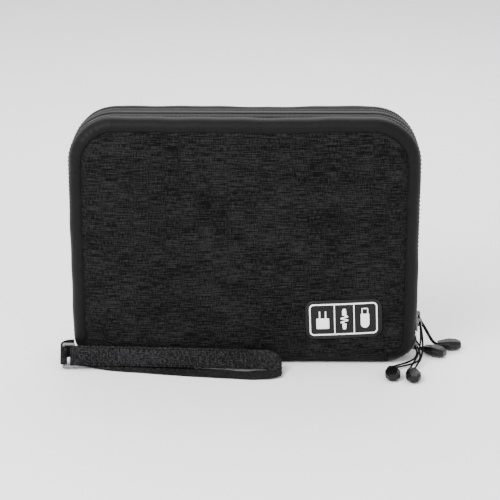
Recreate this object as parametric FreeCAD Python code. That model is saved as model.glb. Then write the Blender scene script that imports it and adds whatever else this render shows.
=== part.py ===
import FreeCAD, Part
import math
import os

# Soft double-layer cable pouch. +X to the right, front face towards -Y, +Z up.
# The origin is the middle of the flat bottom. All sizes are in millimetres.

V = FreeCAD.Vector

# ---- driving dimensions -------------------------------------------------
WIDTH = 245.0
HEIGHT = 180.0
TOP_RADIUS = 33.0
BOTTOM_RADIUS = 20.0
FABRIC = 1.5                 # thickness of an outer wall
EDGE_ROLL = 7.4              # roll of the face edge
SEAM_INSET = 8.6             # face seam from the pouch outline
SEAM_CORNER = 14.0           # corner radius of the face seam at the bottom
COVER_DEPTH = 15.2           # depth of the front and of the rear cover
ZIP_OFFSET = 8.0             # zip centreline from the middle plane
BODY_GAP = 0.3               # gap between two leaves at the hinge line
BAND_HALF = 4.0              # half width of the band between the two zips

COIL_WIDTH = 2.2             # one half of the coil
COIL_GAP = 0.5               # coil edge from the zip centreline
COIL_PROUD = 0.3             # coil above the band's outer face
TAPE = 0.6                   # thickness of the zip tape
TAPE_SHOW = 4.0              # tape and coil between band edge and zip centreline
ZIP_END = 5.0                # height at which the zips end
STOP_LENGTH = 2.0
STOP_LIP = 0.2

FOAM = 2.2
LINING = 0.5
LAYER_GAP = 0.2
POCKET_HALF = 106.0
POCKET_LOW = 8.0
POCKET_HIGH = 96.0
POCKET_MESH = 0.4
BINDING = 1.0
BINDING_HEIGHT = 9.0

BOARD = 3.2
ELASTIC = 0.6
ELASTIC_HEIGHT = 24.0
ELASTIC_RAISE = 2.0
ELASTIC_LOOPS = 8
ELASTIC_STITCH = 6.0
ELASTIC_LEVELS = {"upper": 118.0, "lower": 52.0}

BADGE_WIDTH = 54.0
BADGE_HEIGHT = 28.0
BADGE_RADIUS = 7.0
BADGE_THICK = 1.5
BADGE_RECESS = 0.6
BADGE_RIM = 2.6
BADGE_X = 70.0
BADGE_Z = 37.0
BADGE_TURN = 2.4
FRAME_WIDTH = 47.0
FRAME_HEIGHT = 22.0
FRAME_RADIUS = 4.0
FRAME_LINE = 1.0
INLAY_THICK = 0.5

SLIDER_LENGTH = 12.0
SLIDER_HALF = 4.2
SLIDER_PLATE = 1.2
SLIDER_CLEAR = 0.3
LOWER_SLIDER_LIFT = 0.8      # more room above the coil where the zip bends
LOWER_SLIDER_PLATE = 0.7
SLIDER_POST = 0.4
SLIDER_START = 0.5           # upper slider above the straight run's lower end
LOWER_SLIDER_ANGLE = 30.0    # lower slider below the corner centre's level
BAIL_HALF = 1.0
BAIL_HEIGHT = 3.4
BAIL_REACH = 2.6
EYE_RADIUS = 1.1
EYE_LIFT = 1.6

CORD = 1.4
GRIP_LENGTH = 17.0
GRIP_WIDTH = 11.0
GRIP_HEIGHT = 7.4
GRIP_NECK = 7.0

STRAP_WIDTH = 14.0
STRAP = 1.2
STRAP_LEAN = 25.0
RING_WIRE = 2.0
RING_OUT = 6.0               # ring's bar beyond the pouch's side
RING_REACH = 6.9             # bar to bow
RING_FRONT = 8.0             # ring's centre in front of the face
RING_FLOOR = 1.35            # under the ring's low end
WRAP_CLEAR = 0.3

half_width = WIDTH / 2.0
front = -(ZIP_OFFSET + BODY_GAP + COVER_DEPTH)
leaf_edge = -(ZIP_OFFSET + BODY_GAP)
ring_half = STRAP_WIDTH / 2.0 + RING_WIRE / 2.0
ring_bar_x = -half_width - RING_OUT
ring_bow_x = ring_bar_x + RING_REACH
ring_y = front - RING_FRONT
ring_z = ring_half * math.cos(math.radians(STRAP_LEAN)) + RING_WIRE / 2.0 + RING_FLOOR
seam_half = half_width - SEAM_INSET
spine_half = seam_half - SEAM_CORNER
corner_x = half_width - BOTTOM_RADIUS
FAR = 400.0

# Routes of the four pull cords: each runs from its grip to the slider's eye and back.
CORD_ROUTES = {
    "front_lower": [
        (103.3, -39.0, 3.6), (104.4, -32.6, 2.0), (110.4, -27.0, 1.5), (117.6, -22.6, 1.7),
        (123.0, -17.0, 2.4), (124.8, -11.4, 4.9), (122.8, -10.1, 8.3), (122.8, -5.9, 8.3),
        (125.8, -5.6, 5.4), (126.9, -11.4, 2.6), (125.8, -19.0, 1.5), (120.4, -25.4, 1.5),
        (112.6, -29.8, 1.5), (107.4, -33.8, 2.1), (105.9, -39.0, 3.6)],
    "front_upper": [
        (117.2, -42.0, 3.6), (117.6, -36.0, 3.0), (120.4, -30.0, 4.2), (124.2, -24.4, 8.4),
        (126.0, -18.2, 14.2), (126.6, -12.6, 20.0), (125.9, -10.1, 26.5), (125.9, -5.9, 26.5),
        (127.5, -5.6, 21.0), (128.2, -9.6, 15.4), (128.0, -16.2, 11.0), (126.8, -23.6, 6.2),
        (123.0, -30.6, 2.8), (120.6, -36.4, 2.4), (119.8, -42.0, 3.6)],
    "rear_lower": [
        (130.0, -2.3, 3.6), (127.2, -0.2, 1.9), (126.0, 3.4, 2.6), (125.2, 5.6, 5.2),
        (122.8, 5.9, 8.3), (122.8, 10.1, 8.3), (125.6, 10.4, 5.4), (127.6, 8.0, 2.4),
        (128.4, 3.2, 1.9), (131.4, -0.2, 3.6)],
    "rear_upper": [
        (141.0, 4.8, 3.6), (138.0, 5.9, 4.4), (135.2, 7.2, 8.4), (132.0, 7.0, 14.4),
        (128.4, 6.4, 20.4), (125.9, 5.9, 26.5), (125.9, 10.1, 26.5), (128.9, 11.0, 20.3),
        (132.8, 11.6, 13.8), (136.0, 11.0, 7.8), (138.6, 9.0, 4.2), (141.0, 7.4, 3.6)],
}
# Back end and heading (degrees from +X) of each grip.
GRIP_PLACES = {
    "front_lower": (104.6, -39.0, -92.0),
    "front_upper": (118.5, -42.0, -90.0),
    "rear_lower": (130.7, -1.25, -34.0),
    "rear_upper": (141.0, 6.1, 0.0),
}


# ---- shared shapes ------------------------------------------------------
def rounded_face(half, low, high, low_radius, high_radius):
    """Rounded rectangle in the XZ plane, from 'low' to 'high' in Z."""
    s = math.sqrt(0.5)

    def arc(cx, cz, r, sx, sz):
        start = V(cx + sx * r, 0, cz)
        middle = V(cx + sx * r * s, 0, cz + sz * r * s)
        end = V(cx, 0, cz + sz * r)
        return Part.Arc(start, middle, end).toShape()

    def line(x0, z0, x1, z1):
        return Part.LineSegment(V(x0, 0, z0), V(x1, 0, z1)).toShape()

    xl = half - low_radius
    xh = half - high_radius
    zl = low + low_radius
    zh = high - high_radius
    edges = [
        line(half, zl, half, zh),
        arc(xh, zh, high_radius, 1, 1),
        line(xh, high, -xh, high),
        arc(-xh, zh, high_radius, -1, 1),
        line(-half, zh, -half, zl),
        arc(-xl, zl, low_radius, -1, -1),
        line(-xl, low, xl, low),
        arc(xl, zl, low_radius, 1, -1),
    ]
    return Part.Face(Part.Wire(Part.__sortEdges__(edges)))


def slab(inset, y0, y1):
    """The pouch outline, inset all round, between two depths."""
    face = rounded_face(half_width - inset, inset, HEIGHT - inset,
                        BOTTOM_RADIUS - inset, TOP_RADIUS - inset)
    face.translate(V(0, y0, 0))
    return face.extrude(V(0, y1 - y0, 0))


def edge_strip(outer_inset, inner_inset, y0, y1, low):
    """A strip that follows the outline up, over and down, and ends at height 'low'."""
    ring = slab(outer_inset, y0, y1).cut(slab(inner_inset, y0, y1))
    return ring.common(box(-FAR, FAR, -FAR, FAR, low, FAR))


def box(x0, x1, y0, y1, z0, z1):
    return Part.makeBox(x1 - x0, y1 - y0, z1 - z0, V(x0, y0, z0))


def round_front(shape, y, radius):
    """Roll the edges that lie in the plane at depth y."""
    edges = [e for e in shape.Edges if abs(e.BoundBox.YMin - y) < 1e-6 and abs(e.BoundBox.YMax - y) < 1e-6]
    return shape.makeFillet(radius, edges)


def mirrored(shape):
    return shape.mirror(V(0, 0, 0), V(0, 1, 0))


# ---- covers -------------------------------------------------------------
def cover_shell():
    outer = round_front(slab(0.0, front, leaf_edge), front, EDGE_ROLL)
    inner = round_front(slab(FABRIC, front + FABRIC, leaf_edge + 1.0), front + FABRIC, EDGE_ROLL - FABRIC)
    return outer.cut(inner)


def face_region():
    """The part of the shell that the face fabric covers: the face and the flat bottom."""
    face = rounded_face(seam_half, -1.0, HEIGHT - SEAM_INSET, SEAM_CORNER, TOP_RADIUS - SEAM_INSET)
    face.translate(V(0, front - 1.0, 0))
    return face.extrude(V(0, COVER_DEPTH + 2.0, 0))


def cover_panel():
    return cover_shell().common(face_region())


def cover_rim():
    rim = cover_shell().cut(face_region())
    zip_window = box(-FAR, FAR, -(ZIP_OFFSET + TAPE_SHOW), FAR, ZIP_END - STOP_LENGTH, FAR)
    return rim.cut(zip_window)


def cover_foam():
    y = front + FABRIC + LAYER_GAP
    return slab(EDGE_ROLL + LAYER_GAP, y, y + FOAM)


def lining_front():
    return front + FABRIC + LAYER_GAP + FOAM + LAYER_GAP


def cover_lining():
    y = lining_front()
    roll = EDGE_ROLL - FABRIC
    depth_in = y - (front + FABRIC)
    inset = EDGE_ROLL - math.sqrt(roll ** 2 - (roll - depth_in) ** 2) + LAYER_GAP
    return slab(inset, y, y + LINING)


def cover_pocket():
    y = lining_front() + LINING
    return box(-POCKET_HALF, POCKET_HALF, y, y + POCKET_MESH, POCKET_LOW, POCKET_HIGH)


def cover_binding():
    y = lining_front() + LINING
    return box(-POCKET_HALF, POCKET_HALF, y, y + BINDING, POCKET_HIGH, POCKET_HIGH + BINDING_HEIGHT)


def outer_tape():
    y0 = front + EDGE_ROLL + LAYER_GAP
    return edge_strip(FABRIC, FABRIC + TAPE, y0, -(ZIP_OFFSET + COIL_GAP), ZIP_END - STOP_LENGTH)


def outer_coil():
    y1 = -(ZIP_OFFSET + COIL_GAP)
    return edge_strip(-COIL_PROUD, FABRIC, y1 - COIL_WIDTH, y1, ZIP_END)


# ---- badge --------------------------------------------------------------
def badge_place(shape):
    shape.rotate(V(0, 0, 0), V(0, 1, 0), -BADGE_TURN)
    shape.translate(V(BADGE_X, front, BADGE_Z))
    return shape


def plate(width, height, radius, y0, y1):
    face = rounded_face(width / 2.0, -height / 2.0, height / 2.0, radius, radius)
    face.translate(V(0, y0, 0))
    return face.extrude(V(0, y1 - y0, 0))


def badge():
    body = plate(BADGE_WIDTH, BADGE_HEIGHT, BADGE_RADIUS, -BADGE_THICK, 0.0)
    recess = plate(BADGE_WIDTH - 2 * BADGE_RIM, BADGE_HEIGHT - 2 * BADGE_RIM, BADGE_RADIUS - BADGE_RIM,
                   -BADGE_THICK, -BADGE_THICK + BADGE_RECESS)
    return badge_place(body.cut(recess))


def badge_inlay():
    """A framed strip of three plain pictures: a plug, a lead and a memory stick."""
    y1 = -BADGE_THICK + BADGE_RECESS
    y0 = y1 - INLAY_THICK
    inner_radius = FRAME_RADIUS - FRAME_LINE
    frame = plate(FRAME_WIDTH, FRAME_HEIGHT, FRAME_RADIUS, y0, y1)
    frame = frame.cut(plate(FRAME_WIDTH - 2 * FRAME_LINE, FRAME_HEIGHT - 2 * FRAME_LINE, inner_radius, y0, y1))
    third = FRAME_WIDTH / 6.0
    high = FRAME_HEIGHT / 2.0 - FRAME_LINE / 2.0
    for x in (-third, third):
        frame = frame.fuse(box(x - FRAME_LINE / 2, x + FRAME_LINE / 2, y0, y1, -high, high))
    u = FRAME_HEIGHT / 22.0
    plug_x = -2 * third
    plug = box(plug_x - 4 * u, plug_x + 4 * u, y0, y1, -7 * u, 2 * u)
    for x in (plug_x - 2 * u, plug_x + 2 * u):
        plug = plug.fuse(box(x - 0.6 * u, x + 0.6 * u, y0, y1, 2 * u, 6.5 * u))
    lead = box(-1.8 * u, 1.8 * u, y0, y1, 2.6 * u, 7.5 * u)
    lead = lead.fuse(box(-0.5 * u, 0.5 * u, y0, y1, -4 * u, 2.6 * u))
    lead = lead.fuse(box(-1.4 * u, 1.4 * u, y0, y1, -7.5 * u, -4 * u))
    stick_x = 2 * third
    stick = box(stick_x - 2.6 * u, stick_x + 2.6 * u, y0, y1, -4.4 * u, 4.4 * u)
    stick = stick.fuse(box(stick_x - 1.9 * u, stick_x + 1.9 * u, y0, y1, 4.4 * u, 7.8 * u))
    foot = Part.makeCylinder(2.6 * u, INLAY_THICK, V(stick_x, y0, -4.4 * u), V(0, 1, 0))
    stick = stick.fuse(foot)
    group = Part.makeCompound([frame.removeSplitter(), plug.removeSplitter(),
                               lead.removeSplitter(), stick.removeSplitter()])
    return badge_place(group)


# ---- middle leaf --------------------------------------------------------
def divider_board():
    return slab(FABRIC, -BOARD / 2.0, BOARD / 2.0)


def centre_gusset():
    band = slab(0.0, -BAND_HALF, BAND_HALF).cut(slab(FABRIC, -BAND_HALF, BAND_HALF))
    return band.cut(box(-spine_half, spine_half, -FAR, FAR, -1.0, 2 * FABRIC))


def bottom_spine():
    y = ZIP_OFFSET - BODY_GAP
    return box(-spine_half, spine_half, -y, y, 0.0, FABRIC)


def inner_tape():
    y0 = -(ZIP_OFFSET - COIL_GAP)
    y1 = -(BOARD / 2.0 + LAYER_GAP)
    return edge_strip(FABRIC, FABRIC + TAPE, y0, y1, ZIP_END - STOP_LENGTH)


def inner_coil():
    y0 = -(ZIP_OFFSET - COIL_GAP)
    return edge_strip(-COIL_PROUD, FABRIC, y0, y0 + COIL_WIDTH, ZIP_END)


def zip_end_stops():
    y0 = -(ZIP_OFFSET - COIL_GAP)
    strip = edge_strip(-COIL_PROUD - STOP_LIP, FABRIC, y0, y0 + COIL_WIDTH, ZIP_END - STOP_LENGTH)
    strip = strip.common(box(-FAR, FAR, -FAR, FAR, 0.0, ZIP_END))
    return Part.makeCompound(strip.Solids + mirrored(strip).Solids)


def elastic_loops(level):
    """A woven elastic stitched down between raised loops, on the front of the board."""
    back = -BOARD / 2.0
    low = back - ELASTIC
    loop = (2 * POCKET_HALF - (ELASTIC_LOOPS + 1) * ELASTIC_STITCH) / ELASTIC_LOOPS
    band = box(-POCKET_HALF, POCKET_HALF, low, back, level, level + ELASTIC_HEIGHT)
    for i in range(ELASTIC_LOOPS):
        x0 = -POCKET_HALF + ELASTIC_STITCH + i * (loop + ELASTIC_STITCH)
        raised = box(x0, x0 + loop, low - ELASTIC_RAISE, back, level, level + ELASTIC_HEIGHT)
        hollow = box(x0 + ELASTIC, x0 + loop - ELASTIC, low - ELASTIC_RAISE + ELASTIC, back,
                     level, level + ELASTIC_HEIGHT)
        band = band.fuse(raised).cut(hollow)
    return band.removeSplitter()


def divider_pocket():
    y = BOARD / 2.0
    return box(-POCKET_HALF, POCKET_HALF, y, y + POCKET_MESH, POCKET_LOW, POCKET_HIGH)


def divider_binding():
    y = BOARD / 2.0
    return box(-POCKET_HALF, POCKET_HALF, y, y + BINDING, POCKET_HIGH, POCKET_HIGH + BINDING_HEIGHT)


# ---- sliders ------------------------------------------------------------
def slider_levels():
    """Distances of the slider's surfaces from the band's outer face, outward."""
    top = COIL_PROUD + SLIDER_CLEAR
    under = -(FABRIC + TAPE + SLIDER_CLEAR)
    return under - SLIDER_PLATE, under, top, top + SLIDER_PLATE


def slider_upper():
    under0, under1, top0, top1 = slider_levels()
    y = -ZIP_OFFSET
    z0 = BOTTOM_RADIUS + SLIDER_START
    z1 = z0 + SLIDER_LENGTH
    x = half_width
    inner = box(x + under0, x + under1, y - SLIDER_HALF, y + SLIDER_HALF, z0, z1)
    outer = box(x + top0, x + top1, y - SLIDER_HALF, y + SLIDER_HALF, z0, z1)
    sides = [e for e in outer.Edges if abs(e.BoundBox.XLength) > SLIDER_PLATE / 2]
    outer = outer.makeFillet(2.0, sides)
    post = box(x + under1, x + top0, y - SLIDER_POST / 2, y + SLIDER_POST / 2, z1 - SLIDER_LENGTH / 3, z1)
    return inner.fuse(outer).fuse(post).fuse(bail(x + top1, (z0 + z1) / 2)).removeSplitter()


def bail(x, z):
    """The bridge on a slider, with the eye that the cord runs through."""
    y = -ZIP_OFFSET
    arch = box(x, x + BAIL_HEIGHT, y - BAIL_HALF, y + BAIL_HALF, z - BAIL_REACH, z + BAIL_REACH)
    corners = [e for e in arch.Edges if e.BoundBox.XMin > x + 0.1 and abs(e.BoundBox.YLength) > BAIL_HALF]
    arch = arch.makeFillet(1.2, corners)
    eye = Part.makeCylinder(EYE_RADIUS, 2 * BAIL_HALF, V(x + EYE_LIFT, y - BAIL_HALF, z), V(0, 1, 0))
    return arch.cut(eye)


def arc_plate(radius0, radius1, y0, y1, angle0, angle1):
    """A plate curved round the bottom corner, between two angles below its level."""
    corners = [(radius0, y0), (radius1, y0), (radius1, y1), (radius0, y1), (radius0, y0)]
    face = Part.Face(Part.makePolygon([V(corner_x + radius, y, BOTTOM_RADIUS) for radius, y in corners]))
    solid = face.revolve(V(corner_x, 0, BOTTOM_RADIUS), V(0, 1, 0), angle1 - angle0)
    solid.rotate(V(corner_x, 0, BOTTOM_RADIUS), V(0, 1, 0), angle0)
    return solid


def slider_lower():
    under0, under1, top0, top1 = slider_levels()
    top0 += LOWER_SLIDER_LIFT
    r = BOTTOM_RADIUS
    y = -ZIP_OFFSET
    half_angle = math.degrees(SLIDER_LENGTH / 2.0 / BOTTOM_RADIUS)
    a0 = LOWER_SLIDER_ANGLE - half_angle
    a1 = LOWER_SLIDER_ANGLE + half_angle
    inner = arc_plate(r + under0, r + under1, y - SLIDER_HALF, y + SLIDER_POST / 2, a0, a1)
    outer = arc_plate(r + top0, r + top0 + LOWER_SLIDER_PLATE, y - SLIDER_HALF, y + SLIDER_HALF, a0, a1)
    post = arc_plate(r + under1, r + top0, y - SLIDER_POST / 2, y + SLIDER_POST / 2, a0, a0 + (a1 - a0) / 3)
    bridge = bail(half_width + top1 - 0.1, BOTTOM_RADIUS)
    bridge.rotate(V(corner_x, 0, BOTTOM_RADIUS), V(0, 1, 0), LOWER_SLIDER_ANGLE)
    return inner.fuse(outer).fuse(post).fuse(bridge).removeSplitter()


# ---- pulls --------------------------------------------------------------
def cord_tube(name, points):
    """Straight runs joined by tangent arcs, swept with a round section."""
    pts = [V(*p) for p in points]
    edges = []
    here = pts[0]
    radii = []
    for i in range(1, len(pts) - 1):
        before = (pts[i - 1] - pts[i])
        after = (pts[i + 1] - pts[i])
        run = min(before.Length, after.Length)
        u = before.normalize()
        w = after.normalize()
        turn = math.pi - u.getAngle(w)
        reach = 0.45 * run
        radius = reach / math.tan(turn / 2)
        radii.append(round(radius, 1))
        start = pts[i] + u * reach
        end = pts[i] + w * reach
        bisector = (u + w).normalize()
        centre = pts[i] + bisector * math.hypot(radius, reach)
        middle = centre - bisector * radius
        edges.append(Part.LineSegment(here, start).toShape())
        edges.append(Part.Arc(start, middle, end).toShape())
        here = end
    edges.append(Part.LineSegment(here, pts[-1]).toShape())
    path = Part.Wire(edges)
    axis = (pts[1] - pts[0]).normalize()
    circle = Part.Wire(Part.makeCircle(CORD / 2, pts[0], axis))
    tube = path.makePipeShell([circle], True, False)
    ideal = math.pi * CORD ** 2 / 4 * path.Length
    print(name, "length", round(path.Length, 1), "volume ratio", round(tube.Volume / ideal, 4), "radii", radii)
    return tube


def grip(place):
    """A faceted rubber grip that widens from its neck and ends in a blunt point."""
    x, y, heading = place
    neck = GRIP_NECK / 2
    wide = GRIP_WIDTH / 2
    stations = [(0.0, neck, 0.62), (GRIP_LENGTH * 0.5, wide, 1.0), (GRIP_LENGTH * 0.8, wide * 0.92, 0.9),
                (GRIP_LENGTH, wide * 0.55, 0.6)]
    wires = []
    for s, half, share in stations:
        low = GRIP_HEIGHT / 2 * (1 - share)
        high = GRIP_HEIGHT - low
        chamfer = half * 0.4
        shoulder = (high - low) * 0.28
        flat = half - chamfer
        ring = [(-half, low + shoulder), (-flat, low), (flat, low), (half, low + shoulder),
                (half, high - shoulder), (flat, high), (-flat, high), (-half, high - shoulder)]
        pts = [V(s, w, z) for w, z in ring]
        wires.append(Part.makePolygon(pts + [pts[0]]))
    body = Part.makeLoft(wires, True, True)
    body.rotate(V(0, 0, 0), V(0, 0, 1), heading)
    body.translate(V(x, y, 0.0))
    return body


# ---- strap --------------------------------------------------------------
def lean_frame():
    a = math.radians(STRAP_LEAN)
    along = V(0, math.sin(a), math.cos(a))
    outward = V(0, -math.cos(a), math.sin(a))
    return along, outward


def band_loft(stations, width, thick):
    """A flat band through stations of (centre, width direction, thickness direction)."""
    wires = []
    for centre, w, t in stations:
        w = V(w).normalize()
        t = V(t).normalize()
        corners = ((-1, -1), (1, -1), (1, 1), (-1, 1))
        pts = [centre + w * (a * width / 2) + t * (b * thick / 2) for a, b in corners]
        wires.append(Part.makePolygon(pts + [pts[0]]))
    return Part.makeLoft(wires, True, True)


def ring_centre(x):
    return V(x, ring_y, ring_z)


def d_ring():
    along, outward = lean_frame()
    r = RING_WIRE / 2
    bar = ring_centre(ring_bar_x)
    depth = ring_bow_x - ring_bar_x
    low = bar - along * ring_half
    high = bar + along * ring_half
    low_out = low + V(depth, 0, 0)
    high_out = high + V(depth, 0, 0)
    solid = Part.makeCylinder(r, 2 * ring_half, low, along)
    solid = solid.fuse(Part.makeCylinder(r, 2 * ring_half, low_out, along))
    solid = solid.fuse(Part.makeCylinder(r, depth, low, V(1, 0, 0)))
    solid = solid.fuse(Part.makeCylinder(r, depth, high, V(1, 0, 0)))
    for corner in (low, high, low_out, high_out):
        solid = solid.fuse(Part.makeSphere(r, corner))
    return solid.removeSplitter()


def strap_tab():
    """Fabric tab from the left seam, folded round the ring's bar."""
    along, outward = lean_frame()
    bar = ring_centre(ring_bar_x)
    turn = RING_WIRE / 2 + WRAP_CLEAR + STRAP / 2
    up = V(0, 0, 1)
    stations = [(V(-half_width, front + 6.5, ring_z), up, V(0, -1, 0)),
                (V(-half_width - 5.0, front + 4.7, ring_z), V(0, 0.1, 1), V(0.4, -1, 0.1)),
                (V(-half_width - 8.4, front - 0.6, ring_z), V(0, 0.25, 1), V(1, -0.6, 0.15))]
    for degrees in range(170, 351, 30):
        a = math.radians(degrees)
        out = V(1, 0, 0) * math.cos(a) - outward * math.sin(a)
        stations.append((bar + out * turn, along, out * -1))
    return band_loft(stations, STRAP_WIDTH - 1.0, STRAP)


def wrist_strap():
    """The sewn loop: back along the ring side, round the bow, out along the floor and up the fold."""
    along, outward = lean_frame()
    bow = ring_centre(ring_bow_x)
    turn = RING_WIRE / 2 + WRAP_CLEAR + STRAP / 2
    inside = outward * -1
    upper = [(129.6, -4.1, -0.8), (101.6, -2.9, -0.6), (61.6, -1.9, -0.2), (21.6, -1.5, 0.6)]
    stations = [(bow + V(*step), along, inside) for step in upper]
    for degrees in range(90, 271, 30):
        a = math.radians(degrees)
        out = V(1, 0, 0) * math.cos(a) + outward * math.sin(a)
        stations.append((bow + out * turn, along, out * -1))
    lower = [(25.6, -5.5, 0.75, 0.66), (41.6, -8.5, 0.97, 0.25), (71.6, -13.5, 1.0, 0.02),
             (106.6, -18.5, 1.0, 0.0), (129.6, -20.5, 1.0, 0.0)]
    for dx, dy, wy, wz in lower:
        w = V(0, wy, wz).normalize()
        t = V(0, -w.z, w.y)
        edge = V(ring_bow_x + dx, ring_y + dy, STRAP / 2 * w.y + 0.05)
        stations.append((edge + w * (STRAP_WIDTH / 2), w, t))
    fold = [((140.6, -13.0, 1.9), (0, 0.99, 0.08), (-0.45, -0.07, 0.9)),
            ((147.6, -10.0, 5.4), (0, 0.85, 0.52), (-1, 0, 0)),
            ((141.1, -6.1, 8.6), (0, 0.55, 0.83), (-0.5, 0.72, -0.45))]
    for (dx, dy, z), w, t in fold:
        stations.append((V(ring_bow_x + dx, ring_y + dy, z), V(*w), V(*t)))
    stations.append((bow + V(129.9, -4.1, -0.8), along, inside))
    return band_loft(stations, STRAP_WIDTH, STRAP)


# ---- write every piece --------------------------------------------------
def write(name, shape):
    shape.exportStep("parts/" + name + ".step")
    b = shape.BoundBox
    print(name, len(shape.Solids), shape.isValid(), round(shape.Volume, 1),
          [round(v, 1) for v in (b.XMin, b.XMax, b.YMin, b.YMax, b.ZMin, b.ZMax)])


os.makedirs("parts", exist_ok=True)

COVER_PIECES = {
    "panel": cover_panel, "foam": cover_foam, "lining": cover_lining, "rim": cover_rim,
    "pocket_mesh": cover_pocket, "pocket_binding": cover_binding,
    "zip_tape_outer": outer_tape, "zip_coil_outer": outer_coil,
    "zip_tape_inner": inner_tape, "zip_coil_inner": inner_coil,
}
for piece, maker in COVER_PIECES.items():
    shape = maker()
    write("front_" + piece, shape)
    write("rear_" + piece, mirrored(shape))

write("badge", badge())
write("badge_inlay", badge_inlay())
write("divider_board", divider_board())
write("centre_gusset", centre_gusset())
write("bottom_spine", bottom_spine())
write("zip_end_stops", zip_end_stops())
for level_name, level in ELASTIC_LEVELS.items():
    write("elastic_loops_" + level_name, elastic_loops(level))
write("divider_pocket_mesh", divider_pocket())
write("divider_pocket_binding", divider_binding())

for place, maker in {"upper": slider_upper, "lower": slider_lower}.items():
    shape = maker()
    write("front_slider_" + place, shape)
    write("rear_slider_" + place, mirrored(shape))

for name, route in CORD_ROUTES.items():
    held = grip(GRIP_PLACES[name])
    write(name.replace("_", "_pull_cord_"), cord_tube(name, route).cut(held))
    write(name.replace("_", "_pull_grip_"), held)

write("strap_tab", strap_tab())
write("d_ring", d_ring())
write("wrist_strap", wrist_strap())
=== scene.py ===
import math

import bmesh
import bpy
import numpy as np
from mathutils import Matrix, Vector
from mathutils.bvhtree import BVHTree


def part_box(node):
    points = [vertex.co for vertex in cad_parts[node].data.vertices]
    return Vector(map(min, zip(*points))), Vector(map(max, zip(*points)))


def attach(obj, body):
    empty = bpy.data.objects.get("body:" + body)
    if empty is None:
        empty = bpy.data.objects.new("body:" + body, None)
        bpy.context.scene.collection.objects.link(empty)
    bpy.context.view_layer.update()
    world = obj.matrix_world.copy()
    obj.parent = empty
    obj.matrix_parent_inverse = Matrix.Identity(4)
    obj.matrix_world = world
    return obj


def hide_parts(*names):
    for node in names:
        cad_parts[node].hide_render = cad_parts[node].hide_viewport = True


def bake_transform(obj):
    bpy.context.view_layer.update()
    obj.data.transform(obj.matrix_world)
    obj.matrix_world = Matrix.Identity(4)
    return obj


bl_info = {
    "name": "Cable Pouch",
    "version": (1, 0, 0),
    "blender": (4, 5, 0),
    "location": "View3D > Sidebar > Pouch",
    "description": "Builds the cloth, zips, patch, strap and pulls of a double-layer cable pouch",
    "category": "Add Mesh",
}

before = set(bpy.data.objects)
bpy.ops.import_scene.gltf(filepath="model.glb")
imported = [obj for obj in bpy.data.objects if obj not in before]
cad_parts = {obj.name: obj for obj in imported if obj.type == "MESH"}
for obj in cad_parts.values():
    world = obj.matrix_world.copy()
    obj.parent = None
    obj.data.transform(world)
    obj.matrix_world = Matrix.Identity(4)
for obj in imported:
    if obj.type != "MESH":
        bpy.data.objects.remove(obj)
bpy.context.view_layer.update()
MM = 0.001

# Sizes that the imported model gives, in metres.
GUSSET_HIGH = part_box("centre_gusset")[1]
RIM_LOW, RIM_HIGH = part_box("front_rim")
SPINE_LOW, SPINE_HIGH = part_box("bottom_spine")
COIL_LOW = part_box("front_zip_coil_outer")[0]
HALF = GUSSET_HIGH[0]
HEIGHT = GUSSET_HIGH[2]
FRONT = RIM_LOW[1]
LEAF_EDGE = RIM_HIGH[1]

# Sizes that no box gives: the depth of the zips and the corner radii of the outline.
ZIP_Y = -8.0 * MM
TOP_RADIUS = 33.0 * MM
BOTTOM_RADIUS = 20.0 * MM

# Sizes that several pieces share.
BAND_THICK = 0.9 * MM
BAND_HALF = 4.0 * MM
STITCH_FOOT = 5.0 * MM
TUBE_SIDES = 6
CLOTH_FRAMES = 20
PINNED_ROWS = 2


# ---- settings -----------------------------------------------------------
class PouchSizes(bpy.types.PropertyGroup):
    """Sizes of the pouch's cloth that can be set by themselves."""

    seam_inset: bpy.props.FloatProperty(
        name="Seam inset", description="Face seam from the pouch outline", default=8.6 * MM, unit="LENGTH")
    edge_roll: bpy.props.FloatProperty(
        name="Edge roll", description="Radius of the rolled edge of a cover", default=7.4 * MM, unit="LENGTH")
    puff: bpy.props.FloatProperty(
        name="Puff", description="Most that the padded face may swell", default=4.2 * MM, unit="LENGTH")
    pressure: bpy.props.FloatProperty(
        name="Pressure", description="Pressure behind the face cloth while it is simulated", default=3.0)
    stitch: bpy.props.FloatProperty(
        name="Stitch", description="Length of one stitch with its gap", default=3.0 * MM, unit="LENGTH")
    coil_pitch: bpy.props.FloatProperty(
        name="Coil pitch", description="From tooth to tooth of the coil", default=1.7 * MM, unit="LENGTH")
    strap_width: bpy.props.FloatProperty(
        name="Strap width", description="Width of the wrist strap", default=14.0 * MM, unit="LENGTH")
    cord: bpy.props.FloatProperty(
        name="Pull cord", description="Diameter of the zip pull cord", default=1.4 * MM, unit="LENGTH")


class PouchColours(bpy.types.PropertyGroup):
    """Colours of the pouch's finishes."""

    heather_dark: bpy.props.FloatVectorProperty(
        name="Heather dark", description="Dark yarn", size=3, subtype="COLOR",
        default=(0.0002, 0.0002, 0.0002))
    heather_light: bpy.props.FloatVectorProperty(
        name="Heather light", description="Light yarn", size=3, subtype="COLOR",
        default=(0.0125, 0.0125, 0.0127))
    band: bpy.props.FloatVectorProperty(
        name="Band", description="Plain nylon band", size=3, subtype="COLOR",
        default=(0.0027, 0.0027, 0.0029))
    metal: bpy.props.FloatVectorProperty(
        name="Metal", description="Gunmetal plating", size=3, subtype="COLOR",
        default=(0.035, 0.035, 0.038))
    rubber: bpy.props.FloatVectorProperty(
        name="Rubber", description="Moulded black rubber", size=3, subtype="COLOR",
        default=(0.006, 0.006, 0.006))
    print_white: bpy.props.FloatVectorProperty(
        name="White", description="Raised white of the patch", size=3, subtype="COLOR",
        default=(0.86, 0.86, 0.86))


def sizes():
    return bpy.context.scene.pouch_sizes


def colours():
    return bpy.context.scene.pouch_colours


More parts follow.
